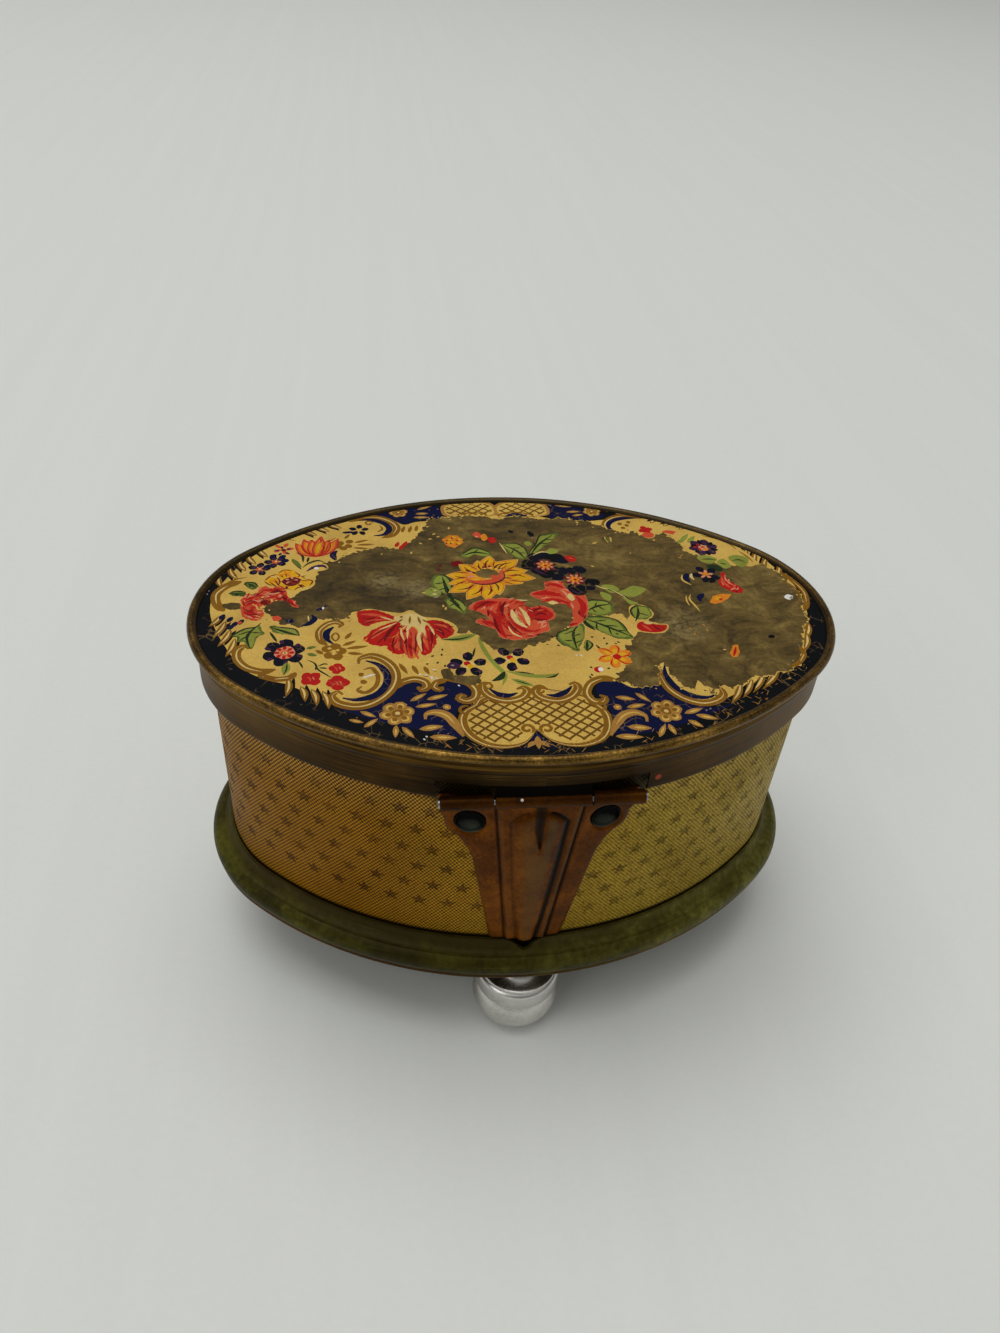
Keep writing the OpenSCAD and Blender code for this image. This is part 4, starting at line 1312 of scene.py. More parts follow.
def florets():
    """Small flowers, berries and stems on the cream ground and what is left of those on the worn part."""
    for x, y, turn in ((-11, -17, 15), (-3.4, -15.6, 50)):
        petals("midnight", x, y, 2.2, 1.15, 5, turn, 0.8)
        petals("plum", x, y, 2.5, 0.5, 5, turn + 12, 0.7)
        spot("pale", x, y, 0.95)
        spot("red", x - 0.2, y + 0.3, 0.6)
        spot("yellow", x + 0.3, y - 0.4, 0.6)
    spot("plum", -13.5, -17.2, 1.2, 0.9, 0)
    spot("grey", -13.7, -17.1, 0.3, 0.2, 0)
    stroke("green", 0.85, (-8.6, -9.4), (-8, -12.6), (-6.8, -16.2), (-5.2, -19.2), (-5, -20.6),
           (-5.7, -22.6), taper=0.2)
    leaf("shade", 1.2, -4.9, -19, -7.5, -21.5, 0.5)
    leaf("green", 1.2, -4, -21, -0.2, -23, -0.1)
    stroke("shade", 0.3, (-3.4, -21.4), (-1, -22.6), taper=0.5)
    stroke("green", 0.95, (-4.6, -19), (-1.8, -20), (1.4, -20.5), (4.2, -19.9), taper=0.3)
    stroke("shade", 0.45, (-3.2, -19.1), (-1.4, -19.5), (0, -19.9), taper=0.5)
    stroke("shade", 0.5, (2, -20.9), (3.4, -20.6), (4.3, -19.8), taper=0.5)
    leaf("green", 1.6, -8.8, -8.6, -15, -10, 0.4)
    stroke("shade", 0.5, (-9.6, -9), (-12, -9.9), (-15.2, -10), taper=0.5)
    stroke("shade", 0.4, (-9.4, -12.4), (-9.8, -13.8), (-10, -15))
    for x, y in ((-15.2, -12.8), (-15.4, -14.2), (-17, -14.5), (-16.2, -16.3), (-18, -16.6), (-15, -17.2),
            (10.2, -18.4), (10, -20.4), (9.6, -21), (13.2, -18.8), (11.9, -10), (14.2, -12),
            (16.4, -11.6), (5.4, -12.2), (4.6, -9.6), (14, -10.4), (16.6, -9.2)):
        spot("shade", x, y, 0.32, 0.2, 30 * x)
    spot("ochre", -22, -3.2, 0.3)
    petals("amber", 15, -15.5, 1.9, 1.35, 6, 20, 0.72)

    def round_by(a, reach):
        """A place round the amber flower's middle."""
        return (15 + reach * math.cos(a), -15.5 + reach * math.sin(a))

    for k in range(6):
        a = math.radians(20 + 60 * k)
        stroke("red", 0.34, round_by(a - 0.5, 0.9), round_by(a - 0.3, 2.4), round_by(a, 3.2), taper=0.5)
    petals("yellow", 15, -15.5, 1.5, 0.7, 6, 20, 0.6)
    spot("red", 15.3, -15.7, 0.75)
    spot("red", 11.4, -19, 0.8)
    spot("white", 11.8, -19, 0.45, 0.6)
    torn("cream", 0.25, 35.0, (19.6, -10), (19, -6), (20.2, -3.6), (20.3, -1.6), (21.6, -0.5), (23.7, -1),
         (24.7, -3.4), (23.4, -5.3), (24.6, -6.2), (26.7, -6.7), (25.9, -8.7), (23.8, -9.3), (21, -8.7))
    veined([(20.8, -4.6), (20.6, -2.2), (22, -0.8), (23.8, -1.2), (24.4, -3.4), (23, -5)],
           [(20.8, -5.6), (21.8, -3.4), (22.2, -1)], [[(22, -3), (23.6, -4)]])
    blob("red", (20.7, -7.2), (21.4, -5.9), (22.8, -5.8), (24.4, -6.6), (26.4, -6.9), (25.6, -8.5),
         (23.6, -9), (21.2, -8.4))
    stroke("coral", 0.6, (21.8, -6.6), (22.6, -7.6), (23.2, -8.6))
    stroke("deep", 0.4, (23.8, -6.8), (24.4, -7.8), (25, -8.4))
    leaf("pale", 0.8, 22.2, -6, 24, -6.3)
    blobs("green", ((16.4, 5.8), (18.6, 6), (19.8, 4.4), (18, 3.4)),
          ((19.4, 3.4), (22, 2), (25, 4.4), (22.8, 5.6), (21, 4.6)),
          ((16, 3.8), (17.8, 2.6), (17.2, 0.8), (16, 2)), ((20, 2), (21.4, 0.8), (22.6, 0), (21, -0.4)))
    stroke("shade", 0.4, (17, 5), (19, 3.6), (21.4, 1))
    stroke("pale", 0.25, (18, 4.6), (19.6, 3), (20.6, 1.6))
    stroke("pale", 0.3, (15.4, 6), (16.6, 5), (18, 4.8))
    for x, y, turn in ((-48.3, 12.4, 10), (-45.4, 14.9, 40)):
        petals("midnight", x, y, 1.35, 0.85, 5, turn, 0.85)
        petals("plum", x, y, 1.1, 0.5, 5, turn, 0.85)
        spot("coral", x, y, 0.6)
        spot("pale", x + 0.1, y + 0.1, 0.25)
    spots("navy", [(-46.8, 13.4), (-46, 16.8), (-44.2, 16.6), (-43.6, 15.2)], 0.8, 0.6, 40)
    petals("coral", -44.2, 19.4, 1.3, 0.75, 5, 70, 0.6)
    petals("plum", -44.2, 18.6, 1.2, 0.5, 5, 30, 0.6)
    spot("maroon", -44.1, 18.9, 0.5)


def left_cluster():
    """Flowers and leaves at the left end."""
    blob("cream", (-47.2, 8.4), (-46, 10.8), (-43.4, 12.4), (-40.8, 11.6), (-37.8, 8.4), (-38.4, 6.2),
         (-41, 5), (-44, 5.6))
    torn("yellow", 0.35, 50.0, (-47, 8.4), (-46.2, 10.2), (-44.8, 10.8), (-43.8, 12.2), (-41.8, 11.8),
         (-40.6, 10.2), (-39.4, 9), (-38, 8.3), (-38.8, 6.6), (-40.6, 6.4), (-41.4, 5.4), (-43.2, 6.2),
         (-45.2, 6.8))
    strokes("maroon", 0.28, 0.3, ((-47, 8.6), (-46.1, 10), (-44.8, 10.7)),
            ((-44.6, 11), (-43.6, 12.1), (-42, 11.7)), ((-41.6, 11.5), (-40.6, 10.3), (-39.5, 9.2)),
            ((-39.6, 9), (-38.2, 8.4), (-38.7, 6.8)), ((-39.4, 6.7), (-40.8, 6.3), (-41.4, 5.5)),
            ((-42, 5.7), (-43.4, 6.2), (-45, 6.8)), ((-45.4, 7), (-46.4, 7.6), (-47, 8.4)),
            ((-43.6, 9.6), (-44.2, 10.4)), ((-41, 9.8), (-40.6, 10.2)), ((-40.4, 8.6), (-39.2, 8.4)),
            ((-40.8, 7.4), (-40, 6.8)))
    stroke("amber", 0.7, (-46, 8.8), (-45, 8.2), (-44, 8.4))
    stroke("amber", 0.6, (-43.4, 11.4), (-42.8, 10.6), (-42.4, 9.8))
    ruffle([(-46.6, 8.4), (-44, 11.4), (-41.6, 11.6), (-38.6, 8.2), (-41, 6), (-45, 7)], (-42, 8.4),
           ("amber", "maroon", "amber", "pale"), 34, 51, 1.5, 0.32, 0.0)
    spot("maroon", -42, 8.4, 1.75, 1.5)
    petals("pink", -42.1, 8.6, 0.9, 0.4, 5, 10, 0.6)
    spot("deep", -41.7, 8, 0.9, 0.6, 30)
    strokes("maroon", 0.3, 0.4, ((-44.8, 9.8), (-44.2, 8.4), (-44.4, 7)),
            ((-46.2, 8.4), (-45.2, 7.2), (-44.2, 6)), ((-45.2, 9), (-44.4, 7.2), (-43.6, 6.2)))
    coral = [(-50.6, 2.4), (-50, 4.2), (-48, 5), (-47.6, 6.6), (-45.4, 6.4), (-43.8, 6.6), (-42.8, 4.8),
             (-42.4, 3), (-41, 1.6), (-40.3, 0), (-41.6, 0.4), (-43.2, 2.4), (-45.4, 1.8), (-47, 0.3),
             (-46.6, -1.8), (-47.6, -3.4), (-49.8, -2.8), (-50.6, -0.4)]
    torn("coral", 0.5, 3.0, *coral)
    ruffle(coral, (-46, 2.2), ("red", "pink", "red", "cream", "coral"), 75, 49, 1.5, 0.42)
    strokes("red", 0.8, 0.35, ((-50, 2.4), (-48.4, 3.8), (-46.6, 4)),
            ((-47.4, 5.8), (-45.6, 5.6), (-43.6, 6)), ((-44.6, 5), (-43.2, 4), (-42.4, 2.6), (-41, 0.6)),
            ((-49.8, 0.8), (-48.6, 1.8), (-47.6, 1.2)), ((-50, -0.8), (-48.6, -2.4), (-47.2, -2.6)),
            ((-48.4, 0.4), (-48.8, -1), (-47.6, -1.8)), ((-47, 3), (-45.6, 3.2), (-44, 4.4)))
    strokes("pink", 0.45, 0.4, ((-49.4, 3.6), (-47.6, 4.6)), ((-48.8, 2.6), (-47.4, 2.2), (-46.6, 3)),
            ((-49.8, -1.8), (-48.2, -3)), ((-46.4, 5), (-45, 4.4), (-43.4, 5.4)))
    strokes("deep", 0.34, 0.4, ((-50.2, 1.4), (-49, 2.4), (-47.8, 1.8)),
            ((-49.6, 4.2), (-48.2, 4.2), (-47, 5.2)), ((-45.2, 6.2), (-44.2, 5.4), (-42.8, 5)),
            ((-50.2, 0.2), (-49.2, -0.8), (-48, -0.4)), ((-49.4, -2.2), (-48.2, -1.8), (-47, -2.2)),
            ((-45, 2.4), (-43.8, 3), (-42.8, 4)), ((-47.6, 3.4), (-46.4, 2.4)),
            ((-42.4, 2), (-41.4, 1), (-40.6, 0.4)))
    strokes("deep", 0.7, 0.4, ((-46.6, 2.6), (-45.8, 1.8), (-46.6, 0.8)),
            ((-45.8, 4.8), (-44.2, 5.2), (-43.2, 4.8)), ((-43.6, 3.6), (-42.8, 2.6), (-42.2, 1.4)))
    spot("deep", -46.4, 1.8, 0.9, 0.8)
    chip("coral", 0.2, 6.0, (-45, -2.6), (-44, -2.2), (-43.2, -3), (-43.6, -3.9), (-44.6, -3.8))
    veined([(-50.4, 8.2), (-48.8, 8), (-48, 6.6), (-49, 6), (-50.2, 6.8)],
           [(-50, 7.8), (-49, 7), (-48.2, 6.4)], [[(-49.6, 7.2), (-49.6, 6.4)]], "olive")
    veined([(-53.2, 4.6), (-52, 5.4), (-50.2, 5), (-50.6, 3.9), (-52, 3.8)],
           [(-53, 4.6), (-51.6, 4.5), (-50.3, 4.6)], [[(-52, 4.4), (-51.4, 3.9)]], "olive")
    veined([(-46.8, -4.3), (-47.4, -5.4), (-48.9, -5.8), (-49.9, -6.3), (-51.5, -8), (-50.4, -8.2),
           (-50.3, -9.6), (-49.2, -9.6), (-47.9, -11.8), (-47.3, -10), (-46.9, -8.2), (-45.9, -7.4),
           (-46.6, -6.1)], [(-46.9, -4.6), (-48.2, -6.6), (-48.8, -8.6), (-48, -11.6)],
           [[(-48, -6.4), (-50.6, -7.8)], [(-48.7, -8), (-50, -9.2)], [(-48.3, -7), (-46.4, -7.2)]])
    veined([(-45, -5.4), (-42.6, -5.8), (-40.6, -6.4), (-39.8, -8), (-41, -8), (-43, -7.6),
           (-44.4, -6.8)], [(-45, -5.6), (-42, -7.2), (-39.8, -8.2)], [])
    stroke("shade", 0.5, (-45, -7), (-44.2, -8.6), (-43.6, -9.8), taper=0.3)
    petals("midnight", -42.3, -12.7, 2.3, 1.45, 6, 20, 0.85)
    petals("plum", -42.3, -12.7, 2.9, 0.6, 6, 40, 0.7)
    spot("pink", -42.2, -12.8, 1.75)
    petals("red", -42.2, -12.8, 1.25, 0.5, 8, 0, 0.7)
    spot("coral", -42.1, -12.9, 0.8)
    spot("pale", -42.1, -12.9, 0.45)
    spot("ochre", -42.1, -12.9, 0.22)
    leaf("green", 1.5, -41.6, -15.4, -42, -18.8, 0.1)
    stroke("shade", 0.34, (-41.6, -15.6), (-41.6, -17.2), (-42, -18.6))
    strokes("shade", 0.36, 0.3, ((-39.8, -15), (-39.2, -16.2), (-38.9, -17)),
            ((-38.4, -14.8), (-37, -15.8), (-36.4, -17.4), (-35, -18.8), (-34, -19.8)),
            ((-36.4, -16.6), (-35.4, -16), (-34.8, -16.2)), ((-36.2, -17), (-34.8, -17.2)),
            ((-36.6, -16.2), (-36.8, -17.6)))
    leaf("olive", 0.8, -38.6, -11.8, -36.8, -11.3)
    leaf("olive", 0.9, -38.4, -13.2, -36.6, -13.8)
    for x, y, r in ((-33.2, -17.3, 1.15), (-37.5, -19.8, 1.5), (-33, -21, 1.6)):
        petals("red", x, y, r * 0.5, r * 0.75, 4, 30 * x, 0.9)
        stroke("coral", 0.35, (x - 0.6, y + 0.5), (x - 0.1, y), (x, y - 0.7))
        stroke("pink", 0.25, (x + 0.3, y + 0.5), (x + 0.6, y - 0.3))
    strokes("shade", 0.55, 0.4, ((-41.6, 18), (-40.4, 16.8), (-40.2, 14.6)),
            ((-42.4, 15.4), (-41.4, 13.8), (-40.4, 12.2)), ((-39.2, 16.4), (-39.4, 14.6)),
            ((-36, 14.4), (-37.4, 15.2), (-39.2, 14.2), (-40.2, 12.8)))
    blob("olive", (-42.4, 15.8), (-41.2, 15), (-40.4, 13), (-41.4, 13.4))
    blob("cream", (-39.6, 11.2), (-38, 13.8), (-36, 14), (-35.4, 12.4), (-37, 11.6))
    stroke("plum", 0.8, (-39.4, 11.6), (-38, 13), (-36.4, 13.4), (-35.6, 12.4), taper=0.3)
    spot("white", -37.6, 12.6, 0.45)
    blob("cream", (-35.6, 18.4), (-34, 19), (-33, 17.6), (-33.4, 15.6), (-35, 14.8))
    stroke("navy", 1.3, (-33.8, 18.6), (-34.6, 17.2), (-34, 15.2), taper=0.35)
    for x, y, bend in ((-42, 21.4, 0.7), (-33.6, 23, -0.7), (-40.4, 22.9, 0.5), (-35.4, 22.6, -0.4),
            (-38.8, 22.6, 0.2), (-37, 23.9, -0.1)):
        dx, dy = x + 37.8, y - 17
        leaf("red", 2.5, -37.8 - 0.1 * dx, 17 - 0.1 * dy, x, y, bend)
        leaf("coral", 2.1, -37.8 - 0.05 * dx, 17 - 0.05 * dy, x - 0.05 * dx, y - 0.05 * dy, bend)
        leaf("amber", 1.5, -37.8, 17, x - 0.14 * dx, y - 0.14 * dy, bend)
        leaf("yellow", 0.8, -37.8 + 0.1 * dx, 17 + 0.1 * dy, x - 0.3 * dx, y - 0.3 * dy, bend)
    strokes("red", 0.3, 0.4, ((-40.8, 20.8), (-39.8, 18.4), (-38.4, 17)),
            ((-37, 17.2), (-36, 18.8), (-35.6, 21)), ((-40.6, 22.4), (-39.6, 21.8), (-38.8, 22.6)),
            ((-37.4, 23.4), (-37, 22), (-37.6, 21)), ((-36, 21.6), (-35, 22.4), (-34.2, 23.2)),
            ((-36.8, 20.6), (-36.4, 19.2), (-37.2, 18)))
    petals("midnight", -29.6, 26, 1.3, 0.75, 5, 15, 0.8)
    spot("navy", -31.8, 25.2, 1.2, 0.45, 5)
    spot("cream", -29.7, 26, 0.45)
    for x, y in ((-22, 20.6), (-20.4, 20.8), (-21.2, 19.6)):
        leaf("red", 0.9, x - 0.4, y - 0.9, x + 0.3, y + 1.1)
    spots("navy", [(-53.6, -2.4), (-52.2, -3.2), (-51.2, -4.6), (-50.2, -4), (-51.8, -5.4)], 0.8, 0.5, 60)
    spot("coral", -50.4, -4.2, 0.4)
    blob("navy", (-42.4, -3.4), (-41.4, -3.2), (-41, -4.2), (-42, -4.8))
    stroke("navy", 1.1, (-38, -2.2), (-37.4, -3.4), (-38.4, -4.8), (-39.6, -5.4), taper=0.3)
    stroke("pale", 0.3, (-38.6, -2.4), (-38.4, -4))
    spot("navy", -36.6, -0.5, 0.7, 0.45, 40)
    spot("navy", -35.5, 0.5, 0.4, 0.3, 40)
    spot("white", -36, -0.2, 0.2, 0.4)


def tulip():
    """The red tulip."""
    blob("cream", (-30, -2), (-28, -0.6), (-25, -1.4), (-22, -2), (-20.2, -1.2), (-18, -3.2), (-15, -3.8),
         (-12.6, -5.6), (-12.2, -7.8), (-14.8, -10), (-16.4, -12.8), (-20.6, -15.4), (-24, -14),
         (-28.8, -10.6), (-28.6, -7.4), (-29.4, -5))
    torn("red", 0.3, 41.0, (-29.9, -1.8), (-28.2, -0.9), (-26, -1.2), (-23.8, -2.6), (-22.4, -3.9),
         (-24.2, -4.3), (-26.4, -4.8), (-28, -5.8), (-29.4, -4.6))
    stroke("coral", 0.8, (-29.2, -2.2), (-27, -2.4), (-24.6, -3.2))
    stroke("coral", 0.6, (-28.6, -4.6), (-26.6, -4), (-24.8, -3.9))
    torn("red", 0.25, 42.0, (-22, -4.4), (-25, -5.4), (-27.4, -7.2), (-28.7, -9.2), (-28.2, -10.4),
         (-26.4, -11.4), (-24.2, -11.2), (-23.4, -8.6))
    stroke("coral", 1.2, (-23.6, -5.6), (-26, -7.4), (-27.4, -9.4), taper=0.35)
    stroke("deep", 0.8, (-22.8, -5.2), (-24.4, -7.8), (-25.2, -10.2))
    torn("red", 0.25, 43.0, (-23.4, -7.4), (-24.6, -11.2), (-24, -13.2), (-22.6, -13.9), (-21.3, -12.6),
         (-21.4, -9), (-21.9, -7))
    stroke("coral", 0.9, (-22.8, -8), (-23.2, -10.6), (-22.6, -12.8), taper=0.35)
    torn("coral", 0.25, 44.0, (-21.5, -7), (-21.9, -11), (-21.6, -14), (-20.8, -15), (-19.6, -14.2),
         (-19, -11.4), (-19.3, -7.6), (-20, -6.2))
    stroke("red", 0.8, (-20.4, -7.6), (-20.8, -11), (-20.6, -14.4), taper=0.35)
    torn("red", 0.25, 45.0, (-18.4, -6.2), (-19, -10), (-19, -13.4), (-18.2, -14.3), (-16.8, -12.8),
         (-16, -10.4), (-16.2, -7.6), (-17.2, -5.8))
    stroke("coral", 0.7, (-17.8, -6.8), (-18, -10), (-17.6, -12.8), taper=0.35)
    stroke("deep", 0.5, (-16.8, -7.4), (-16.8, -10.4))
    torn("red", 0.25, 46.0, (-17.6, -4.8), (-15.8, -4.3), (-13.7, -5.4), (-12.7, -7.4), (-13.6, -9),
         (-15.1, -9.7), (-16.2, -8), (-16.6, -6.2))
    stroke("coral", 0.7, (-16.6, -5.2), (-14.8, -6), (-13.8, -7.4))
    stroke("deep", 0.5, (-16.4, -6), (-15, -7.4), (-14.6, -9))
    blob("pale", (-23.4, -3.4), (-21, -2.4), (-19.6, -2.2), (-17.6, -3.8), (-17.8, -6), (-18.8, -8.6),
         (-19.3, -6.4), (-20.2, -6), (-21.4, -8), (-21.8, -5.6))
    strokes("ochre", 0.45, 0.4, ((-21.8, -3.8), (-22.6, -4.8)), ((-20.4, -3), (-20.6, -5.2)),
            ((-19, -3.2), (-18.6, -5.4)), ((-18.2, -4), (-17.4, -5)))
    ruffle([(-28.6, -9.6), (-24, -6), (-23.4, -8), (-24, -13.4), (-20.6, -14.8), (-17.4, -13.4),
           (-16.2, -9), (-13, -7.4), (-15, -5), (-17, -6), (-20, -8), (-22, -6), (-25, -6), (-28, -8.6)],
           (-20, -2.6), ("deep", "coral", "amber", "red", "coral"), 60, 47, 1.9, 0.4, 0.0)
    strokes("deep", 0.34, 0.45, ((-29, -3.2), (-27.6, -3.6), (-26.2, -2.8)),
            ((-28.7, -4.8), (-27.4, -4.5), (-26.6, -4)), ((-24, -5.9), (-26.6, -8), (-28.1, -9.8)),
            ((-23.4, -6.6), (-25.2, -9), (-26.6, -11.1)), ((-23.1, -8.4), (-23.8, -11), (-23.4, -13.3)),
            ((-22.2, -8.8), (-22.4, -11.4), (-22, -13)), ((-21, -8), (-21.4, -11), (-21.2, -13.9)),
            ((-19.7, -8), (-19.7, -11.6), (-20, -14)), ((-18.4, -8), (-18.6, -11), (-18.4, -13.7)),
            ((-17.1, -6.8), (-16.8, -9.6), (-17.1, -12.4)), ((-16.9, -5.4), (-15, -5.2), (-13.4, -6.4)),
            ((-16.2, -6.9), (-15, -8.2), (-14.6, -9.3)), ((-15.8, -5.9), (-14.2, -6.9), (-13.4, -8.2)))
    strokes("pale", 0.45, 0.5, ((-22.2, -6.4), (-22.1, -8.2), (-21.7, -10)),
            ((-19.1, -7.6), (-19.3, -9.6), (-19.2, -11.6)), ((-17.3, -5.6), (-16.7, -7), (-16.3, -8.6)),
            ((-22.8, -4.8), (-24.6, -6), (-26, -6.8)), ((-20.9, -6.6), (-21.1, -8.4), (-21.1, -9.6)),
            ((-18, -6.2), (-18.1, -7.6), (-17.9, -9)))
    stroke("pale", 0.6, (-19, -8), (-19, -11), (-18.8, -13.2), taper=0.5)
    stroke("pale", 0.4, (-25.8, -3), (-23, -4.4))


def bouquet():
    """The flowers in the middle: leaves, yellow flower, two roses, dark flowers and buds."""
    veined([(-1.3, 20.7), (1.6, 20.8), (3.4, 18.8), (3.6, 16), (2.4, 14.8), (0.6, 16.2), (-0.4, 18.4)],
           [(-0.8, 20.2), (1.6, 18), (3, 15.2)], [[(0.6, 19), (2.6, 19.2)], [(1, 18.4), (0.4, 17)],
           [(2, 17.4), (3.4, 17.2)]])
    veined([(3.6, 16.2), (4.6, 18.6), (5.8, 20.6), (7, 23.6), (8.6, 24.2), (10.7, 24.7), (10.2, 22.8),
           (8.6, 21), (6.8, 19), (5, 16.6)], [(4.2, 16.6), (6.4, 20.4), (9.6, 23.8)],
           [[(5.6, 19.2), (5.4, 21.4)], [(6.6, 20.6), (8.4, 20.8)], [(7.6, 22), (9.6, 22.2)]])
    blob("green", (7.4, 17.4), (8.4, 18.9), (10, 18.5), (9.8, 17.4), (8.4, 16.8))
    blob("green", (3.4, 21), (4.4, 21.6), (5, 20.4), (4, 19.8))
    veined([(-9.9, 16.4), (-8.6, 17.8), (-7.2, 19.2), (-5.4, 18.8), (-3.4, 17), (-5, 16), (-6.8, 17),
           (-8.4, 15.8)], [(-9.4, 16.4), (-7, 17.6), (-4, 17)], [[(-7, 17.6), (-6, 18.8)]])
    veined([(-15, 9.9), (-13.4, 9.8), (-12.4, 8), (-12.2, 5), (-13.2, 3.4), (-15, 5), (-16, 7.4)],
           [(-13.8, 9.4), (-13.4, 6), (-12.8, 3.6)], [[(-13.6, 7.4), (-15.4, 7)],
           [(-13.4, 5.6), (-14.8, 5)]])
    blob("green", (-17.6, 4.2), (-16, 5.8), (-14.4, 4.6), (-14.8, 3), (-16.4, 3))
    ruffle([(-16.6, 5.4), (-13.6, 4.4), (-13.6, 2.4), (-16.4, 2.8)], (-15, 8),
           ("grey", "shade", "pale", "olive"), 16, 61, 1.1, 0.3)
    veined([(-13.8, 2), (-12.6, 2.6), (-10.8, 1.4), (-10, -0.6), (-10.4, -2.4), (-12, -1.4), (-13.4, 0)],
           [(-13.2, 2.2), (-12, 0.6), (-10.6, -2)], [[(-12, 0.6), (-13, 0)]])
    stroke("shade", 0.9, (-13.6, 8.4), (-13.2, 5), (-12.4, 2), (-11.2, 0))
    veined([(12, 0.4), (13.8, 1.2), (16.4, 0.8), (17.6, -0.6), (16.8, -3), (14.4, -3.8), (12, -2.6)],
           [(12.4, -2.2), (14.4, -0.8), (17, -0.2)], [[(14, -1), (14.6, 0.4)], [(14.6, -0.8), (15.8, -2)],
           [(13.4, -1.4), (14, -2.8)]])
    veined([(11.4, -4), (14.4, -3.9), (17.2, -5), (18.4, -7), (18.8, -8.8), (19.6, -10.4), (17, -10.7),
           (14.6, -9.4), (12.4, -7.2), (11, -5.4)], [(11.4, -4.4), (14.6, -6.6), (19.4, -10.2)],
           [[(13.2, -5.4), (15.6, -5)], [(14.6, -6.6), (17.4, -7)], [(13.4, -5.8), (13.2, -7.8)],
           [(15.4, -7.2), (15.6, -9.4)], [(16.8, -8.2), (18.4, -8.4)]])
    veined([(10.6, -5.6), (8.4, -7.2), (6, -8.6), (5.5, -10.6), (6.8, -12.4), (8.6, -14), (9.5, -12.2),
           (10.6, -10), (11, -7.4)], [(10.2, -6), (8.6, -9), (8.6, -13.6)],
           [[(9, -8), (7, -9)], [(8.6, -9.6), (10, -9)], [(8.4, -10.8), (6.6, -11)],
           [(8.6, -11.6), (9.8, -11)]])
    veined([(10.8, -10.8), (11.6, -12.2), (10.3, -14), (10, -12)], [(10.8, -11), (10.3, -13.8)], [])
    stroke("shade", 0.45, (12.2, -12.2), (12.6, -13.2), (13.2, -14.2))
    stroke("shade", 0.9, (11, -4.6), (11.6, -6.2), (12.8, -8))
    spot("deep", -10.7, 13.7, 1.2, 1.0)
    spots("maroon", [(-14, 13), (-14.4, 11.6)], 0.5, 0.3, 20)
    tips = [(-4, 16.2), (-6.6, 14.6), (-10.2, 13.3), (-12.8, 9.8), (-12.6, 7), (-12.7, 4.3), (-9.6, 2.1),
            (-6, 1.7), (-3.4, 3.4), (1.4, 7), (3.9, 8.5), (2.7, 11.2), (1.3, 14.8), (-1, 14.4)]

    def at(tip, out, side=0.0):
        """A share of the way from the flower's middle to a petal's tip, and a share to its left."""
        dx, dy = tip[0] + 5, tip[1] - 9.4
        return (-5 + out * dx - side * dy, 9.4 + out * dy + side * dx)

    for x, y in tips:
        leaf("cream", 4.0, -5, 9.4, x + 0.04 * (x + 5), y + 0.04 * (y - 9.4), 0.25)
    for tip in tips:
        x, y = tip
        leaf("amber", 3.7, *at(tip, 0.12), x, y, 0.25)
        leaf("yellow", 2.9, *at(tip, 0.16), x - 0.03 * (x + 5), y - 0.03 * (y - 9.4), 0.25)
    for tip in tips:
        stroke("maroon", 0.42, at(tip, 0.38, 0.06), at(tip, 0.62, 0.1), at(tip, 0.82, 0.02), taper=0.5)
        stroke("amber", 0.6, at(tip, 0.36, -0.07), at(tip, 0.66, -0.09), taper=0.5)
        stroke("maroon", 0.3, at(tip, 0.45, -0.12), at(tip, 0.8, -0.14), taper=0.6)
    stroke("coral", 1.6, (-9.2, 8.4), (-7.6, 7.4), (-5.4, 7.3), (-3, 8.2), (-2.4, 10), (-2.2, 11.8),
           taper=0.3)
    stroke("maroon", 0.45, (-9, 7.6), (-6.6, 6.7), (-4, 7), (-2, 8.6), (-1.8, 11), taper=0.3)
    stroke("maroon", 0.5, (-9.2, 11.4), (-8, 10.8), (-7.2, 10), taper=0.3)
    stroke("pink", 0.6, (-9, 8.8), (-8.2, 9.4), (-7.4, 9), taper=0.3)
    stroke("pink", 0.5, (-8.8, 10.4), (-7.9, 10.9), taper=0.3)
    for x, y in ((-5.6, 12.4), (-4.4, 12.7), (-3.3, 12.4), (-2.6, 12)):
        spot("maroon", x, y, 0.33)
        spot("pale", x + 0.2, y - 0.5, 0.25)
    chip("bare", 0.25, 15.0, (-7.3, 10.9), (-5.8, 11.9), (-3.2, 11.4), (-2.9, 9.9), (-4.6, 8.7),
         (-6.9, 9.1))
    spot("coral", -3.8, 9, 0.7, 0.9, 30)
    rose = [(-9.5, -0.8), (-7.8, 1.2), (-5, 2), (-2, 2.1), (0.4, 0.9), (1.5, -1), (3, -0.5), (4.6, -0.5),
            (6, -2), (5.8, -4.2), (4.4, -5.2), (4.6, -7.4), (2.8, -8.6), (0.6, -10), (-3, -10.3),
            (-4.7, -9.2), (-5.3, -7.2), (-8.5, -5.2), (-8.2, -4.2), (-6, -4.2), (-7.4, -2.2)]
    ink("pink", ragged(curve(grown(rose, (-0.6, -3.8), 1.012, 1.012), True), 0.3, 0.35, 17.0))
    torn("coral", 0.3, 17.0, *rose)
    ruffle(rose, (0.6, -2.4), ("red", "pink", "red", "deep"), 60, 53, 2.2, 0.4)
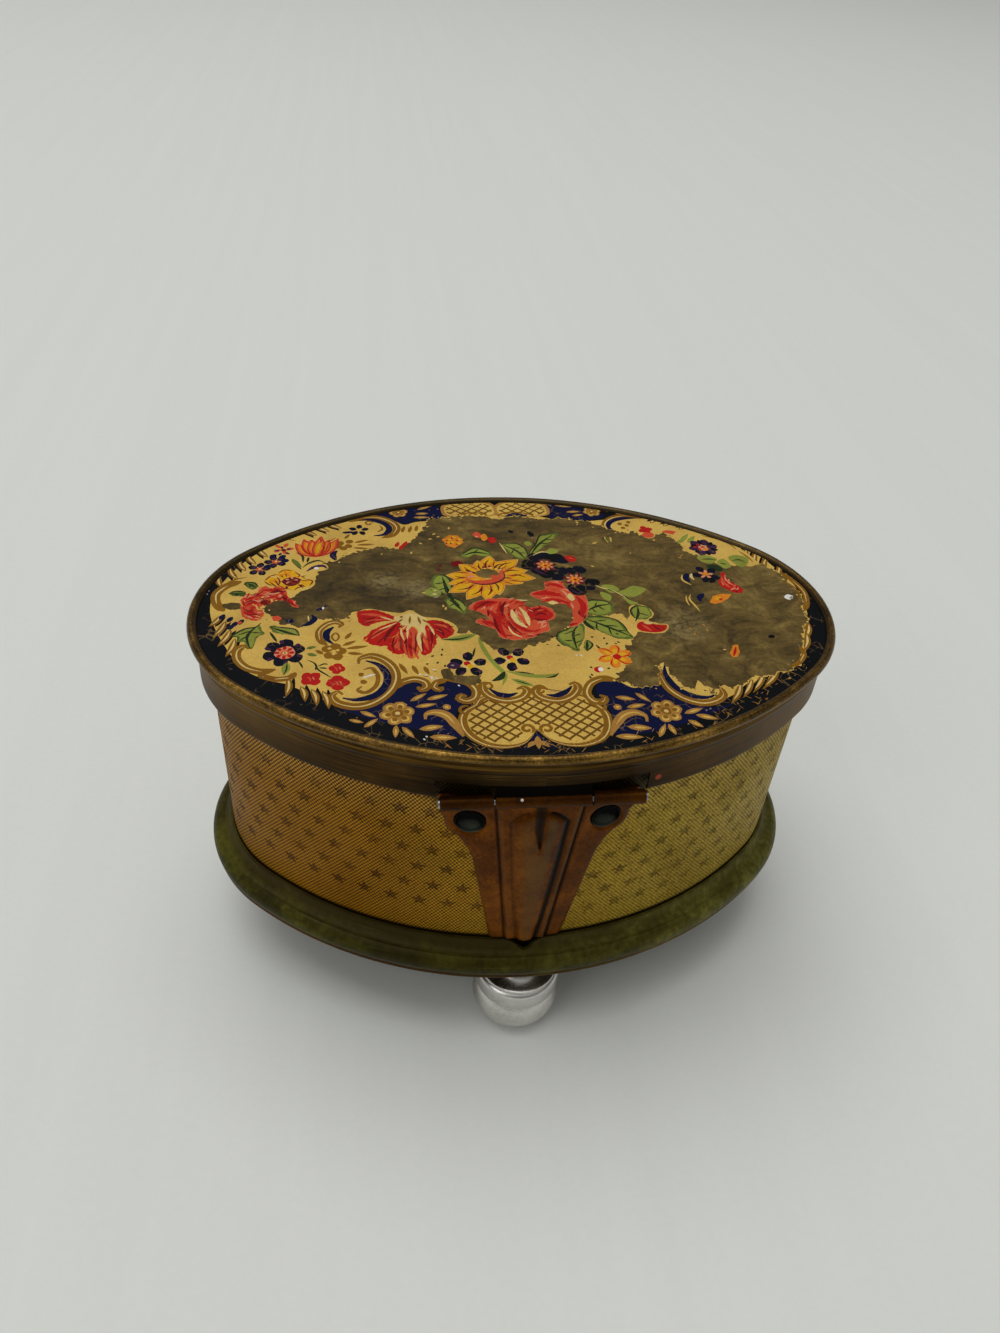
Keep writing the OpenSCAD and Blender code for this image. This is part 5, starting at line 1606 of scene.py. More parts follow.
    for width, points in ((1.7, ((-8.8, -1.2), (-7, 0.4), (-4, 0.9))),
            (1.4, ((-6, -1.4), (-4.8, -4), (-4.6, -7), (-3.6, -9.8))),
            (1.3, ((-3.6, 0.8), (-3.8, -2.8), (-3, -6.4), (-1.2, -9.6))),
            (1.1, ((-2.2, -0.4), (-1.9, -4.6), (0, -7.6), (2.4, -8))),
            (0.9, ((1, -0.4), (1.8, -2), (1.6, -5))), (0.9, ((-7.6, -4.8), (-6, -5.4), (-4.8, -6.8)))):
        stroke("red", width, *points, taper=0.35)
    for width, points in ((0.8, ((-2.4, 1.2), (-3.4, -0.6), (-3.6, -3.4))),
            (0.6, ((-5.2, -3.4), (-5, -6.6), (-4.4, -8.6))),
            (0.5, ((-2.8, -4.6), (-1.9, -7.2), (-0.6, -8.8))),
            (0.5, ((-8.2, -0.8), (-6.2, 0.8), (-4.6, 1)))):
        stroke("deep", width, *points, taper=0.45)
    stroke("pale", 1.3, (-1.7, -1.5), (-1.5, -3.4), (-0.5, -5.8), (0.5, -6.9), taper=0.35)
    stroke("pale", 0.9, (-0.2, -0.8), (0.7, -3), (1, -6.4), taper=0.35)
    stroke("tan", 0.4, (-1, -3.6), (-0.2, -5.6))
    stroke("pale", 0.4, (-2.9, -6.4), (-2.3, -8.4), (-0.7, -9.8), taper=0.35)
    spot("red", 3.5, -2.9, 2.3, 2.1)
    strokes("deep", 0.6, 0.4, ((2, -2.4), (3.2, -1.4), (4.8, -2.2)),
            ((2.4, -3.4), (3.6, -2.6), (4.6, -3.4)), ((1.8, -4), (3, -4.7), (4.4, -4.6)))
    stroke("pink", 0.4, (2.6, -5.4), (4.4, -5.5))
    stroke("pink", 0.35, (1.4, -1.4), (2.2, -2.2))
    stroke("coral", 0.5, (3, -1.9), (4.4, -1.6))
    second = [(2.3, 3.2), (4, 4.4), (5.6, 4.8), (5.6, 6.8), (7.2, 7.6), (9, 7.2), (9.6, 5), (11, 3.8),
              (12.7, 2.8), (12.7, -1), (12, -3.6), (10.4, -6), (8.2, -7), (9.5, -4), (9.4, -1), (8.6, 0),
              (6, 0.3), (4.4, 1.2)]
    ink("pink", ragged(curve(grown(second, (8.6, 0.8), 1.015, 1.012), True), 0.25, 0.35, 19.0))
    torn("coral", 0.3, 19.0, *second)
    ruffle(second, (6.5, -2), ("red", "pink", "red", "deep"), 36, 55, 1.9, 0.4)
    for width, points in ((1.4, ((2.8, 3.3), (5.6, 3.6), (8.4, 2.6))),
            (1, ((6.2, 6.6), (7.8, 6.2), (9, 5.2))), (1.2, ((11, 2.6), (11.9, -0.4), (11, -4))),
            (0.7, ((5, 1.6), (7.4, 1.4), (9.4, 0.2)))):
        stroke("red", width, *points, taper=0.35)
    torn("pale", 0.3, 57.0, (9.3, 2.6), (10, 3.2), (10.8, 2.2), (10.2, 1), (9.5, 1.4))
    torn("pale", 0.3, 58.0, (5.4, 0.6), (6.4, 1.1), (7.4, 0.5), (6.4, 0))
    stroke("pink", 0.5, (8.4, 4.6), (9.2, 3.4), (9.2, 2))
    stroke("pink", 0.3, (4, 2), (6, 2.2))
    for x, y, r in ((3.5, 13.1, 1.9), (5, 15.5, 1.7), (7, 16.2, 1.5), (9, 15.4, 1.9), (10.4, 14.6, 1.4),
            (6.3, 10.4, 2.0), (4.6, 11.2, 1.3), (8.4, 11.4, 1.1)):
        spot("midnight" if r < 1.8 else "dark", x, y, r, r * 0.85, 20 * x)
    for x, y, r in ((11.6, 4.8, 2.2), (14.9, 6.9, 1.6), (13.2, 11.3, 1.5), (9.8, 10.8, 1.3),
            (8.6, 8.8, 1.4), (14.2, 5.2, 1.1), (11.4, 10.9, 1.2)):
        spot("midnight" if r < 1.55 else "dark", x, y, r, r * 0.8, 25 * x)
    for x, y in ((6.6, 12.9), (11.7, 8)):
        petals("maroon", x, y, 1.6, 0.75, 7, 8, 0.6)
        petals("pink", x, y, 1.25, 0.5, 8, 20, 0.6)
        spot("coral", x, y, 1.1)
        petals("yellow", x, y, 0.6, 0.35, 6, 0, 0.7)
        spot("red", x + 0.1, y - 0.1, 0.35)
    strokes("plum", 0.5, 0.4, ((4, 12), (5.2, 10.6), (6.6, 9.4)), ((10.2, 5.2), (11.4, 3.6), (13, 4)))
    blob("red", (10.9, 15.8), (12, 16.3), (13.2, 15.2), (12.6, 14), (11.4, 14.3))
    stroke("coral", 0.4, (11.6, 15.6), (12.6, 15))
    chip("amber", 0.35, 23.0, (-13, 22.6), (-11.6, 24), (-9.8, 23.8), (-8.8, 22.4), (-9.2, 20.6),
         (-10.8, 19.2), (-12.6, 20.4))
    for x, y in ((-12, 22), (-11, 22.9), (-10, 22), (-11.4, 21), (-10.2, 20.6), (-12.2, 21)):
        spot("maroon", x, y, 0.3, 0.22, 40 * x)
        spot("yellow", x + 0.4, y + 0.3, 0.4)
    blob("coral", (-6.8, 24), (-5.8, 25.2), (-5, 24), (-5.6, 22.8))
    blob("amber", (-5.2, 23.6), (-4.2, 24.4), (-3.8, 22.6), (-4.8, 21.8))
    blob("red", (-3.8, 22.8), (-2.4, 23), (-2.2, 21.4), (-3.4, 21))
    spot("pink", -6, 23.4, 0.35)
    stroke("pale", 0.3, (-1.6, 21), (-1, 19), (-0.4, 17))
    stroke("pale", 0.4, (4.6, 16.4), (6.4, 17.6), (8, 17.4))
    stroke("grey", 0.45, (4.4, 25), (5.2, 23.6), (5.4, 22.6))
    spot("dark", 5.2, 24.2, 0.6, 1.1, 20)
    spot("dark", 1.2, 25.2, 0.7, 0.45, 130)
    stroke("pale", 0.35, (-0.4, 1.6), (0.8, 1.4), (1.8, 1.4), taper=0.3)


def right_fragments():
    """What is left of the print at the right end."""
    blob("cream", (28, 24.4), (28.6, 26.8), (30.6, 27), (31.4, 25), (31, 23), (29.4, 22.4))
    petals("red", 29.6, 25.6, 0.7, 0.9, 4, 20, 0.8)
    blob("coral", (28.4, 23.6), (29.4, 24.6), (31, 24.2), (30.6, 22.8), (29.4, 22.6))
    blob("cream", (33, 25), (34, 26.4), (36.4, 25.6), (36.2, 23.6), (35, 23.6))
    blob("coral", (33, 25), (34.4, 25.4), (36, 24.8), (35.6, 23.8), (34, 24.2))
    blob("cream", (35, 22.4), (36, 24.6), (40, 25), (44, 22.8), (47.4, 19.2), (49.6, 15), (49.8, 12.8),
         (47.4, 12), (43.6, 16.4), (40, 20.4), (37.6, 20))
    stroke("ochre", 0.5, (41, 23.4), (44, 22), (46.2, 20), (47, 18), taper=0.3)
    stroke("ochre", 0.4, (47.4, 17.4), (48.6, 15.2), (49.2, 13.4), taper=0.3)
    leaves("green", 1.1, (36, 21, 38.4, 24), (37.4, 20.6, 39.6, 23.2), (35.2, 20.6, 37, 21.8))
    petals("plum", 40.2, 18.8, 1.9, 1.2, 6, 10, 0.8)
    petals("midnight", 40.4, 18.8, 2.1, 0.75, 6, 40, 0.7)
    spot("pink", 40.2, 18.6, 0.95)
    petals("red", 39.4, 19, 0.8, 0.45, 4, 0, 0.7)
    spot("amber", 40.7, 18.2, 0.5)
    blobs("green", ((38, 15.4), (40, 16), (42, 14.6), (40.4, 13), (38.6, 13.6)),
          ((44.4, 15), (46.2, 16), (48.4, 15), (48, 13), (46.4, 11.6), (45, 13.2)),
          ((41.6, 13.4), (43.4, 14.6), (44.2, 12), (42.6, 11.2)))
    strokes("shade", 0.45, 0.5, ((38.6, 14.4), (40.2, 14.6), (41.8, 14.2)),
            ((45, 14), (46.6, 14.2), (47.6, 13.2)), ((42.2, 13.2), (43.4, 12.6)))
    blob("shade", (39, 12), (41, 12.6), (42.2, 11), (41, 10.2))
    petals("midnight", 38.2, 9.2, 1.9, 1.0, 5, 40, 0.8)
    petals("pink", 38.2, 9.2, 1.0, 0.55, 5, 80, 0.6)
    spot("amber", 38.2, 9.4, 0.6)
    spot("dark", 38.8, 7.2, 1.1, 0.8, 40)
    chip("red", 0.2, 27.0, (40.2, 5.2), (40, 6.8), (41, 8.2), (41.4, 9.8), (42.2, 9.6), (42, 7.6),
         (43.2, 5.8), (44.4, 4), (43.6, 2.8), (42, 3))
    ruffle([(40.4, 5), (41.2, 8.2), (42, 9), (42.6, 6), (44, 4), (42, 3.4)], (40, 0),
           ("coral", "pink", "deep", "coral"), 16, 59, 1.3, 0.4, 0.0)
    stroke("coral", 0.7, (41.2, 8.4), (41, 6.4), (42, 4.4))
    stroke("pink", 0.3, (42, 9), (41.8, 7), (43, 5))
    chip("amber", 0.25, 29.0, (36.6, 0), (37.6, 1.8), (39.2, 2.6), (41.4, 2.6), (40.4, 1.2), (38.8, -0.2),
         (37.4, -0.6))
    spot("yellow", 38.4, 1.2, 0.7, 0.5, 30)
    spot("red", 38.9, 0.9, 0.35)
    stroke("navy", 1.2, (34.6, 9.6), (33.8, 8), (34.4, 6.6), taper=0.3)
    stroke("cream", 0.4, (33.4, 9.2), (33, 7.4), (34.4, 5.6), taper=0.3)
    stroke("pale", 0.6, (35.4, 9.6), (35, 8.4), (35.4, 7.4), taper=0.3)
    stroke("navy", 1.2, (36, 2.8), (34.8, 1.4), (34.8, 0.2), taper=0.35)
    stroke("cream", 0.4, (33.4, 2.6), (32.8, 1), (33.4, -1.2), (33.8, -2.8), taper=0.3)
    stroke("cream", 0.3, (32.4, 2.2), (32.1, 0.4), (32.3, -1), taper=0.3)
    chip("amber", 0.25, 31.0, (36, -15.4), (36.8, -13.4), (38.2, -13), (38, -14.8), (37, -16.6),
         (36.2, -16.4))
    stroke("red", 0.5, (37.6, -13.6), (37, -15), (36.4, -16.2))
    stroke("cream", 0.35, (35, -14.2), (35.6, -14.4), taper=0.3)
    spot("white", 52.6, 1.3, 0.95, 0.8, 20)
    spot("grey", 53, 1.0, 0.4)
    spot("dark", 45.2, -10.8, 0.75, 0.5, 20)
    scroll((49.5, -13.8), (49.6, -16), (48.2, -18), (46.2, -19.4), width=0.7)
    scroll((53.6, 9.8), (55.2, 6.8), (56.2, 3.2), (55.6, -0.4), (54.2, -3.2), width=0.9)
    stroke("ochre", 0.35, (53.6, 6.8), (54.9, 4.2), (55, 1.6), (53.8, -0.6))
    leaves("cream", 0.5, (20.4, 23.2, 20.8, 20.8), (21.6, 23, 21.4, 21), (17.4, 20.4, 18.6, 21.2))
    leaf("olive", 0.9, 20.8, 23, 21.1, 21)
    for x, y in ((35, 16), (34.4, 15.2), (24.6, 17), (16, 12.4), (30.6, -8), (31, -9.6), (33.4, -7),
            (33.6, -8.6), (-14.6, 24.4), (-15.4, 22.6), (-13.8, 23.4), (-11.4, 26.6), (15.6, 28.6),
            (14.2, 29.8), (-17.4, 21), (-19.4, 17.6), (-17.6, 4.2), (-14.2, 0), (-13.8, -0.8)):
        spot("tan" if x > 20 else "cream", x, y, 0.2, 0.4, 20 * y)


def marks():
    """Crazed hairlines and small chips on the border, and dust specks."""
    pick = random.Random(33)
    for _ in range(90):
        x = pick.uniform(-18, 50)
        if x < 40:
            y = float(on_hinge_side(x, PANEL_IN)) - 0.5 + pick.uniform(0.0, 2.6)
        else:
            y = -34.4 + 0.62 * (x - 26) + pick.uniform(0.0, 1.8)
        a = pick.choice((1, -1)) * pick.uniform(0.5, 1.1)
        reach = pick.uniform(0.3, 0.8)
        dx, dy = reach * math.cos(a), reach * math.sin(a)
        stroke("tan", 0.11, (x - dx, y - dy), (x + dx, y + dy), taper=0.3)
    for _ in range(70):
        a = pick.uniform(0, 2 * math.pi)
        x, y = 55.5 * math.cos(a) * pick.uniform(0.96, 1.02), 35.8 * math.sin(a) * pick.uniform(0.97, 1.03)
        r = pick.uniform(0.08, 0.2)
        if inside_oval(x, y, PANEL_IN + 0.5):
            spot(pick.choice(("bare", "grey", "tan")), x, y, r, r * 0.7, 30)
    for x, y in ((-19.4, -35), (-19, -34.4), (-13, -22.4), (8.2, -15), (9, -15.1), (-56.8, 5.6),
            (-57, 4.6), (-18.3, -19.6), (-17.4, -20.2)):
        spot("white" if y < 0 else "grey", x, y, 0.15, 0.24, 40)
    ruffle([(-19.4, -18), (-16.8, -18), (-16.6, -20.6), (-19, -20.4)], (-18, -26),
           ("white", "grey", "ochre"), 9, 63, 0.9, 0.26)


def lid_print():
    """Draws the whole print, from the ground up."""
    border()
    gold_sprays()
    front_cartouche()
    back_cartouche()
    scrolls()
    worn_ground()
    left_cluster()
    tulip()
    bouquet()
    florets()
    right_fragments()
    marks()
    return DRAWN


# Lid

def lid_panel_piece():
    """The printed sheet: one closed plate whose upper face is cut along every outline of the print."""
    edge = place(oval_stations(0.7), PANEL_IN)
    layers = lid_print()
    jitter = random.Random(5)
    pitch, shake = 1.2, 0.3
    loose = []
    for i in range(-48, 49):
        for j in range(-32, 33):
            x = i * pitch + jitter.uniform(-shake, shake)
            y = j * pitch + jitter.uniform(-shake, shake)
            if inside_oval(x, y, PANEL_IN + 0.6):
                loose.append((x, y))
    clear = [loop for _, loop in layers if np.all(inside_oval(*loop.T, PANEL_IN + 0.02))]
    flat, faces = partition([edge] + clear, loose)
    centre = flat[faces].mean(1)
    colour = np.zeros(len(faces), int)
    names = list(INKS)
    for name, loop in layers:
        boxed = np.all((centre >= loop.min(0)) & (centre <= loop.max(0)), 1)
        near = np.where(boxed)[0]
        colour[near[within(loop, centre[near])]] = names.index(name)
    n, rim = len(flat), len(edge)
    dents = np.array([rough(x * 0.05, y * 0.05, 3.0) for x, y in flat])
    top = np.column_stack([flat, PANEL_TOP - 0.02 - 0.03 * (dents + 1) / 2])
    under = np.column_stack([edge, np.full(rim, PANEL_Z)])
    ring = [int(np.argmin(np.sum((flat - p) ** 2, 1))) for p in edge]
    all_faces = [tuple(f) for f in faces]
    for i in range(rim):
        k = (i + 1) % rim
        all_faces.append((ring[i], n + i, n + k, ring[k]))
        all_faces.append((n + k, n + i, n + rim))
    obj = outward(mesh("lid_panel_print", np.vstack([top, under, [[0, 0, PANEL_Z]]]), all_faces))
    data = obj.data
    layer = data.color_attributes.new("print", "FLOAT_COLOR", "CORNER")
    table = np.array([linear(*INKS[k]) for k in names])
    rows = np.tile(table[names.index("dark")], (len(data.loops), 1))
    rows[:3 * len(faces)] = np.repeat(table[colour], 3, 0)
    layer.data.foreach_set("color", rows.astype(np.float32).ravel())
    slots = np.ones(len(data.polygons), np.int32)
    slots[:len(faces)] = colour == names.index("bare")
    dress(obj, [INK, BARE], "lid", "lid_panel")
    data.polygons.foreach_set("material_index", slots)


def rolled(points, _):
    """Small dents and unevenness of hand-worked sheet, downwards only."""
    depth = 0.05
    for ring in points:
        wave = rough(ring[0, 0] * 0.09, ring[0, 1] * 0.09, 1.7)
        ring[:, 2] -= depth * (wave + 1) / 2 * (ring[:, 2] > PANEL_Z + 0.2)


def lid_rim_piece():
    """The rolled edge and the ledge under the panel."""
    flat = math.degrees(math.asin(0.8))
    ledge = math.degrees(math.asin((BEAD_Z - PANEL_Z) / BEAD_R))
    ledge_in, ledge_low = -5.0, CARD_LOW + 0.01
    section = arc(-BEAD_R, BEAD_Z, BEAD_R, -flat, 180 + ledge, 40)
    section += [(ledge_in, PANEL_Z), (ledge_in, ledge_low), (-1.65 * BEAD_R, ledge_low),
                (-BEAD_R - BEAD_R * math.cos(math.radians(flat)), SKIRT_TOP)]
    dress(swept("lid_rolled_edge", section, 0.8, rolled), BRASS, "lid", "lid_rim")


def dented(points, rows):
    """Shallow waves in the skirt's sheet, inwards only."""
    depth, middle, spread = 0.16, 69.5, 3.0
    for ring, row in zip(points, rows):
        out = outside(row)
        x, y = ring[0, :2]
        for p in ring:
            wave = 0.5 + 0.5 * rough(x * 0.05, y * 0.05, p[2] * 0.06)
            near = math.exp(-((p[2] - middle) / spread) ** 2)
            p[:2] -= out * depth * wave * near


def lid_skirt_piece():
    """The band under the rolled edge: turned hem, step line and the notch for the hinge."""
    hem_r, step_r, step_half = 0.9, 1.3, 0.69
    inner = -SKIRT_IN - SKIRT_T
    hem = (-SKIRT_IN - hem_r, SKIRT_LOW + hem_r)
    turn = math.degrees(math.asin(step_half / step_r))
    step = (-SKIRT_IN - math.sqrt(step_r**2 - step_half**2), BEAD_Z - 2.85)
    section = arc(*hem, hem_r, -90, 0, 10)
    section += [(-SKIRT_IN, z) for z in np.linspace(hem[1] + 0.6, step[1] - step_half - 0.3, 10)]
    section += arc(*step, step_r, -turn, turn, 10)
    section += [(-SKIRT_IN, SKIRT_TOP)] + [(inner, z) for z in (SKIRT_TOP, 73.0, 70.0, 67.0)]
    section += arc(*hem, hem_r - SKIRT_T, 0, -90, 8)
    skirt = swept("lid_skirt_band", section, 0.8, dented)
    corners = [(x, y, z) for x in (-NOTCH_HALF, NOTCH_HALF)
               for y in (-HALF_D - 3, -HALF_D + 20) for z in (SKIRT_LOW - 3, NOTCH_Z)]
    sides = [(0, 1, 3, 2), (4, 6, 7, 5), (0, 4, 5, 1), (2, 3, 7, 6), (0, 2, 6, 4), (1, 5, 7, 3)]
    cut(skirt, mesh("cutter", corners, sides, smooth=False))
    mark_sharp(skirt.data, 35.0)
    dress(skirt, BRONZE, "lid", "lid_skirt")


def lid_card_piece():
    """Card between the panel and the cloth."""
    edge = place(oval_stations(1.2), 5.1)
    n = len(edge)
    points = [(x, y, z) for z in (CARD_LOW + 0.01, PANEL_Z - 0.01) for x, y in edge]
    faces = [tuple(range(n)), tuple(range(n, 2 * n))]
    faces += [(i, (i + 1) % n, n + (i + 1) % n, n + i) for i in range(n)]
    dress(outward(mesh("lid_card_sheet", points, faces)), CARD, "lid", "lid_card")


def cushion(rows, insets, height, spine, crest):
    """Points and faces of a pad: rings from its edge inwards, closed over a spine of points along x."""
    n = len(rows)
    points = [(x, y, height(r, x, y)) for r, inset in enumerate(insets) for x, y in place(rows, inset)]
    faces = ring_faces(len(insets), n)
    last, first = len(points) - n, len(points)
    inner = np.array(points[last:])
    owner = first + np.argmin(np.abs(inner[:, :1] - spine[None, :]), 1)
    points += [(x, 0.0, crest) for x in spine]
    for k in range(n):
        m = (k + 1) % n
        faces.append((last + k, owner[k], last + m))
        if owner[k] != owner[m]:
            faces.append((owner[k], owner[m], last + m))
    return points, faces


def lid_lining_piece():
    """Velvet over a thin wadding: a shallow crowned pad with a turned edge."""
    rows = oval_stations(1.2)
    insets = [2.3, 2.34, 2.55, 2.95, 3.6, 4.6, 6.2, 8.5, 11.5, 15.0, 19.0, 23.0]
    drop = [0.3, 0.45, 0.6, 0.66] + [0.7] * 8

    def height(r, x, y):
        """Height of the cloth on a ring."""
        soft = 0.06 * (rough(x * 0.12, y * 0.12, 9.0) - 1) * (drop[r] > 0.65)
        return CARD_LOW - drop[r] - soft

    points, faces = cushion(rows, insets, height, np.linspace(-9.3, 9.3, 3), CARD_LOW - 0.62)
    n, back = len(rows), len(points)
    points += [(x, y, CARD_LOW) for x, y in place(rows, insets[0])]
    faces += [(back + k, k, (k + 1) % n, back + (k + 1) % n) for k in range(n)]
    faces.append(tuple(range(back, back + n)))
    obj = outward(mesh("lid_velvet", points, faces, sharp=60))
    dress(obj, VELVET, "lid", "lid_lining")


# Hinge

EAR_R = 4.3
HOLE_R = 2.72
HOLE_RIM_R = 3.15
OUTER_KNUCKLES = ((-17.0, -8.25), (8.25, 17.0))


def leaf_loop():
    """Outline of the hinge plate in x and z."""
    right = [(0.0, 63.7), (8.2, 63.7), (8.2, 64.4), (16.95, 64.4), (16.95, 60.4)]
    right += arc(EAR_X, EAR_Z, EAR_R, 8, -62, 12)
    right += [(12.5, 53.2), (11.6, 51.6), (10.8, 49.2), (9.9, 44.4), (8.9, 38.9), (8.0, 33.9), (7.2, 29.3),
              (6.75, TAIL_Z + 0.6), (6.3, TAIL_Z + 0.05), (3.2, TAIL_Z), (0.0, TAIL_Z)]
    left = [(-x, z) for x, z in reversed(right[1:-1])]
    return finely(np.array(right + left), 0.6)


def leaf_relief(x, z, edge):
    """Height of the stamped plate over the wall, and how proud or hollow each place is; the hollow values
    become painted shade, deeper on the right.
    """
    h = 0.7 - 0.32 * (1 - ramp_up(edge, 0.0, 0.55))
    # Painted shade in the grooves and beside the bud is deeper on the right side
    shaded = ramp_up(x, -3.0, 3.0)
    # Raised tongue, with a ridge along its border and a groove outside it
    half = 3.6 + 3.5 * np.clip((z - TAIL_Z) / (61.0 - TAIL_Z), 0, 1.15)
    side = np.abs(x) - half
    h = h + 0.3 * ramp_up(-side, -0.25, 0.25)
    ridge = np.exp(-((side + 0.55) / 0.35) ** 2)
    groove = np.exp(-((side - 0.28) / 0.26) ** 2)
    gone = 1 - ramp_up(z, 62.3, 63.2)
    h = h + (0.14 * ridge - 0.3 * groove) * gone
    proud = 0.9 * ridge - (0.6 + 0.4 * shaded) * groove
    # Bud on the tongue, cleft towards its top
    top = 61.9
    u = np.clip((top - z) / (top - TAIL_Z), 0, 1)
    wide = (1.25 + 3.45 * (1 - u) ** 0.75) * np.sqrt(np.clip(u / 0.075, 0, 1))
    wide = np.maximum(wide, 1e-3)
    across = np.clip(np.abs(x) / wide, 0, 1)
    dome = np.sqrt(np.clip(1 - across ** 2.2, 0, 1))
    tall = (0.62 + 0.2 * (1 - u)) * np.clip(u / 0.04, 0, 1) ** 0.6
    cleft = ramp_up(z, 52.4, 58.5)
    lean = x - 0.5 * (1 - cleft)
    split = ramp_up(z, 52.2, 53.4) * np.exp(-(lean / (0.25 + 0.85 * cleft)) ** 2)
    bud = tall * dome * (1 - 0.85 * split)
    shoulder = np.exp(-((np.abs(x) - wide - 0.35) / (0.26 + 0.2 * shaded)) ** 2)
    shoulder = shoulder * (z < top + 0.4) * (u > 0.01)
    h = h + bud - 0.16 * shoulder
    proud = proud + ramp_up(bud, 0.3, 0.75) - 0.85 * split - (0.35 + 0.75 * shaded) * shoulder
    pit = np.exp(-((x - 0.45) ** 2 + ((z - 52.2) / 1.2) ** 2) / 0.35)
    return np.minimum(h - 0.25 * pit, 1.82), proud - 0.8 * pit


def clear_of_ears(points, radius):
    """True for the places that lie outside both rivet holes."""
    right, left = (np.hypot(points[:, 0] - s * EAR_X, points[:, 1] - EAR_Z) > radius for s in (1, -1))
    return right & left


def body_leaf_piece():
    """The stamped plate on the wall, with the outer knuckles and the straps that carry them."""
    outline = leaf_loop()
    holes = [np.array(arc(s * EAR_X, EAR_Z, HOLE_R, 0, 360, 40)[:-1]) for s in (-1, 1)]
    rims = [np.array(arc(s * EAR_X, EAR_Z, HOLE_RIM_R, 0, 360, 44)[:-1]) for s in (-1, 1)]
    pitch = 0.31
    grid = np.array([(i * pitch + (pitch / 2 if j % 2 else 0.0), TAIL_Z + 0.2 + j * pitch)
                     for i in range(-56, 57) for j in range(122)])
    keep = within(outline, grid) & clear_of_ears(grid, HOLE_RIM_R + 0.1)
    flat, faces = partition([outline] + holes + rims, grid[keep])
    centre = flat[faces].mean(1)
    faces = faces[within(outline, centre) & clear_of_ears(centre, HOLE_R - 0.02)]
    rim = np.vstack([outline] + holes)
    edge = np.array([np.min(np.hypot(rim[:, 0] - x, rim[:, 1] - z)) for x, z in flat])
    x, z = flat.T
    h, proud = leaf_relief(x, z, edge)
    front = np.column_stack([x, on_hinge_side(x, WALL_IN - h), z])
    back = np.column_stack([x, on_hinge_side(x, WALL_IN), z])
    parts = [mark_proud(sheet_solid("leaf_plate", front, back, faces), np.concatenate([proud, proud]))]
    for x0, x1 in OUTER_KNUCKLES:
        parts.append(mark_proud(knuckle(x0, x1), -0.42))
        parts.append(mark_proud(strap(x0, x1), -0.2))
    dress(joined("body_hinge_plate", parts), COPPER, "body", "body_hinge_leaf")


def mark_proud(obj, value):
    """Marks a whole part, or each of its points, as rubbed or hollow; hollow values darken it, as painted
    shade in hollows and gaps and as a darker tone on the knuckles and straps.
    """
    attribute = obj.data.attributes.new("proud", "FLOAT", "POINT")
    attribute.data.foreach_set("value", np.full(len(obj.data.vertices), value, np.float32))
    return obj


def sheet_solid(name, front, back, faces):
    """A closed solid between two faces that have the same triangles."""
    n = len(front)
    edges = {(f[i], f[(i + 1) % 3]): None for f in faces for i in range(3)}
    all_faces = [tuple(f) for f in faces] + [(a + n, c + n, b + n) for a, b, c in faces]
    all_faces += [(j, i, i + n, j + n) for i, j in edges if (j, i) not in edges]
    return outward(mesh(name, np.vstack([front, back]), all_faces, sharp=40))


def strap(x0, x1):
    """Sheet that comes off the plate and rolls into a knuckle."""
    rings = []
    for x in np.linspace(x0, x1, 12):
        wall = float(on_hinge_side(x, WALL_IN))
        ring = [(wall - 0.62, 61.4), (wall - 0.66, 62.3),
                (wall * 0.5 + (PIN_Y + 0.7) * 0.5 - 0.25, 63.5), (PIN_Y + 0.3, PIN_Z - 1.0),
                (PIN_Y + 1.1, PIN_Z + 0.1), (PIN_Y + 1.2, PIN_Z - 0.3),
                (wall * 0.55 + (PIN_Y + 1.2) * 0.45 - 0.05, 64.1), (wall - 0.06, 62.6), (wall - 0.06, 61.4)]
        rings.append([(x, y, z) for y, z in ring])
    return lofted("strap", rings, 50)


def lid_leaf_piece():
    """Middle knuckle, and its plate inside the skirt."""
    rings = []
    for x in np.linspace(-MID_HALF, MID_HALF, 17):
        skirt = float(on_hinge_side(x, SKIRT_IN + SKIRT_T))
        ring = [(PIN_Y - 0.45, 0.9), (skirt, 2.3), (skirt, 7.8), (skirt + 0.15, 8.0),
                (skirt + 0.45, 8.0), (skirt + 0.6, 7.8), (skirt + 0.6, 1.9), (PIN_Y + 0.45, 0.75)]
        rings.append([(x, y, PIN_Z + up) for y, up in ring])
    # The plate's outer face is marked for a near-black painted shadow in the gap above the knuckle
    notch_shadow_marks = np.tile([-1.0] * 4 + [-0.3] * 4, len(rings))
    parts = [mark_proud(knuckle(-MID_HALF, MID_HALF), -0.42),
             mark_proud(lofted("lid_plate", rings, 40), notch_shadow_marks)]
    dress(joined("lid_hinge_plate", parts), COPPER, "lid", "lid_hinge_leaf")


def ear_place(side):
    """Frame of a rivet's axis: it goes through an ear and points out of the wall."""
    angle = math.asin(side * EAR_X / (SIDE_R - WALL_IN))
    radius = SIDE_R - PLATE_IN
    spot_at = Vector((radius * math.sin(angle), SIDE_C - radius * math.cos(angle), EAR_Z)) * MM
    turn = Matrix.Rotation(angle, 4, "Z") @ Matrix.Rotation(math.pi / 2, 4, "X")
    return Matrix.Translation(spot_at) @ turn


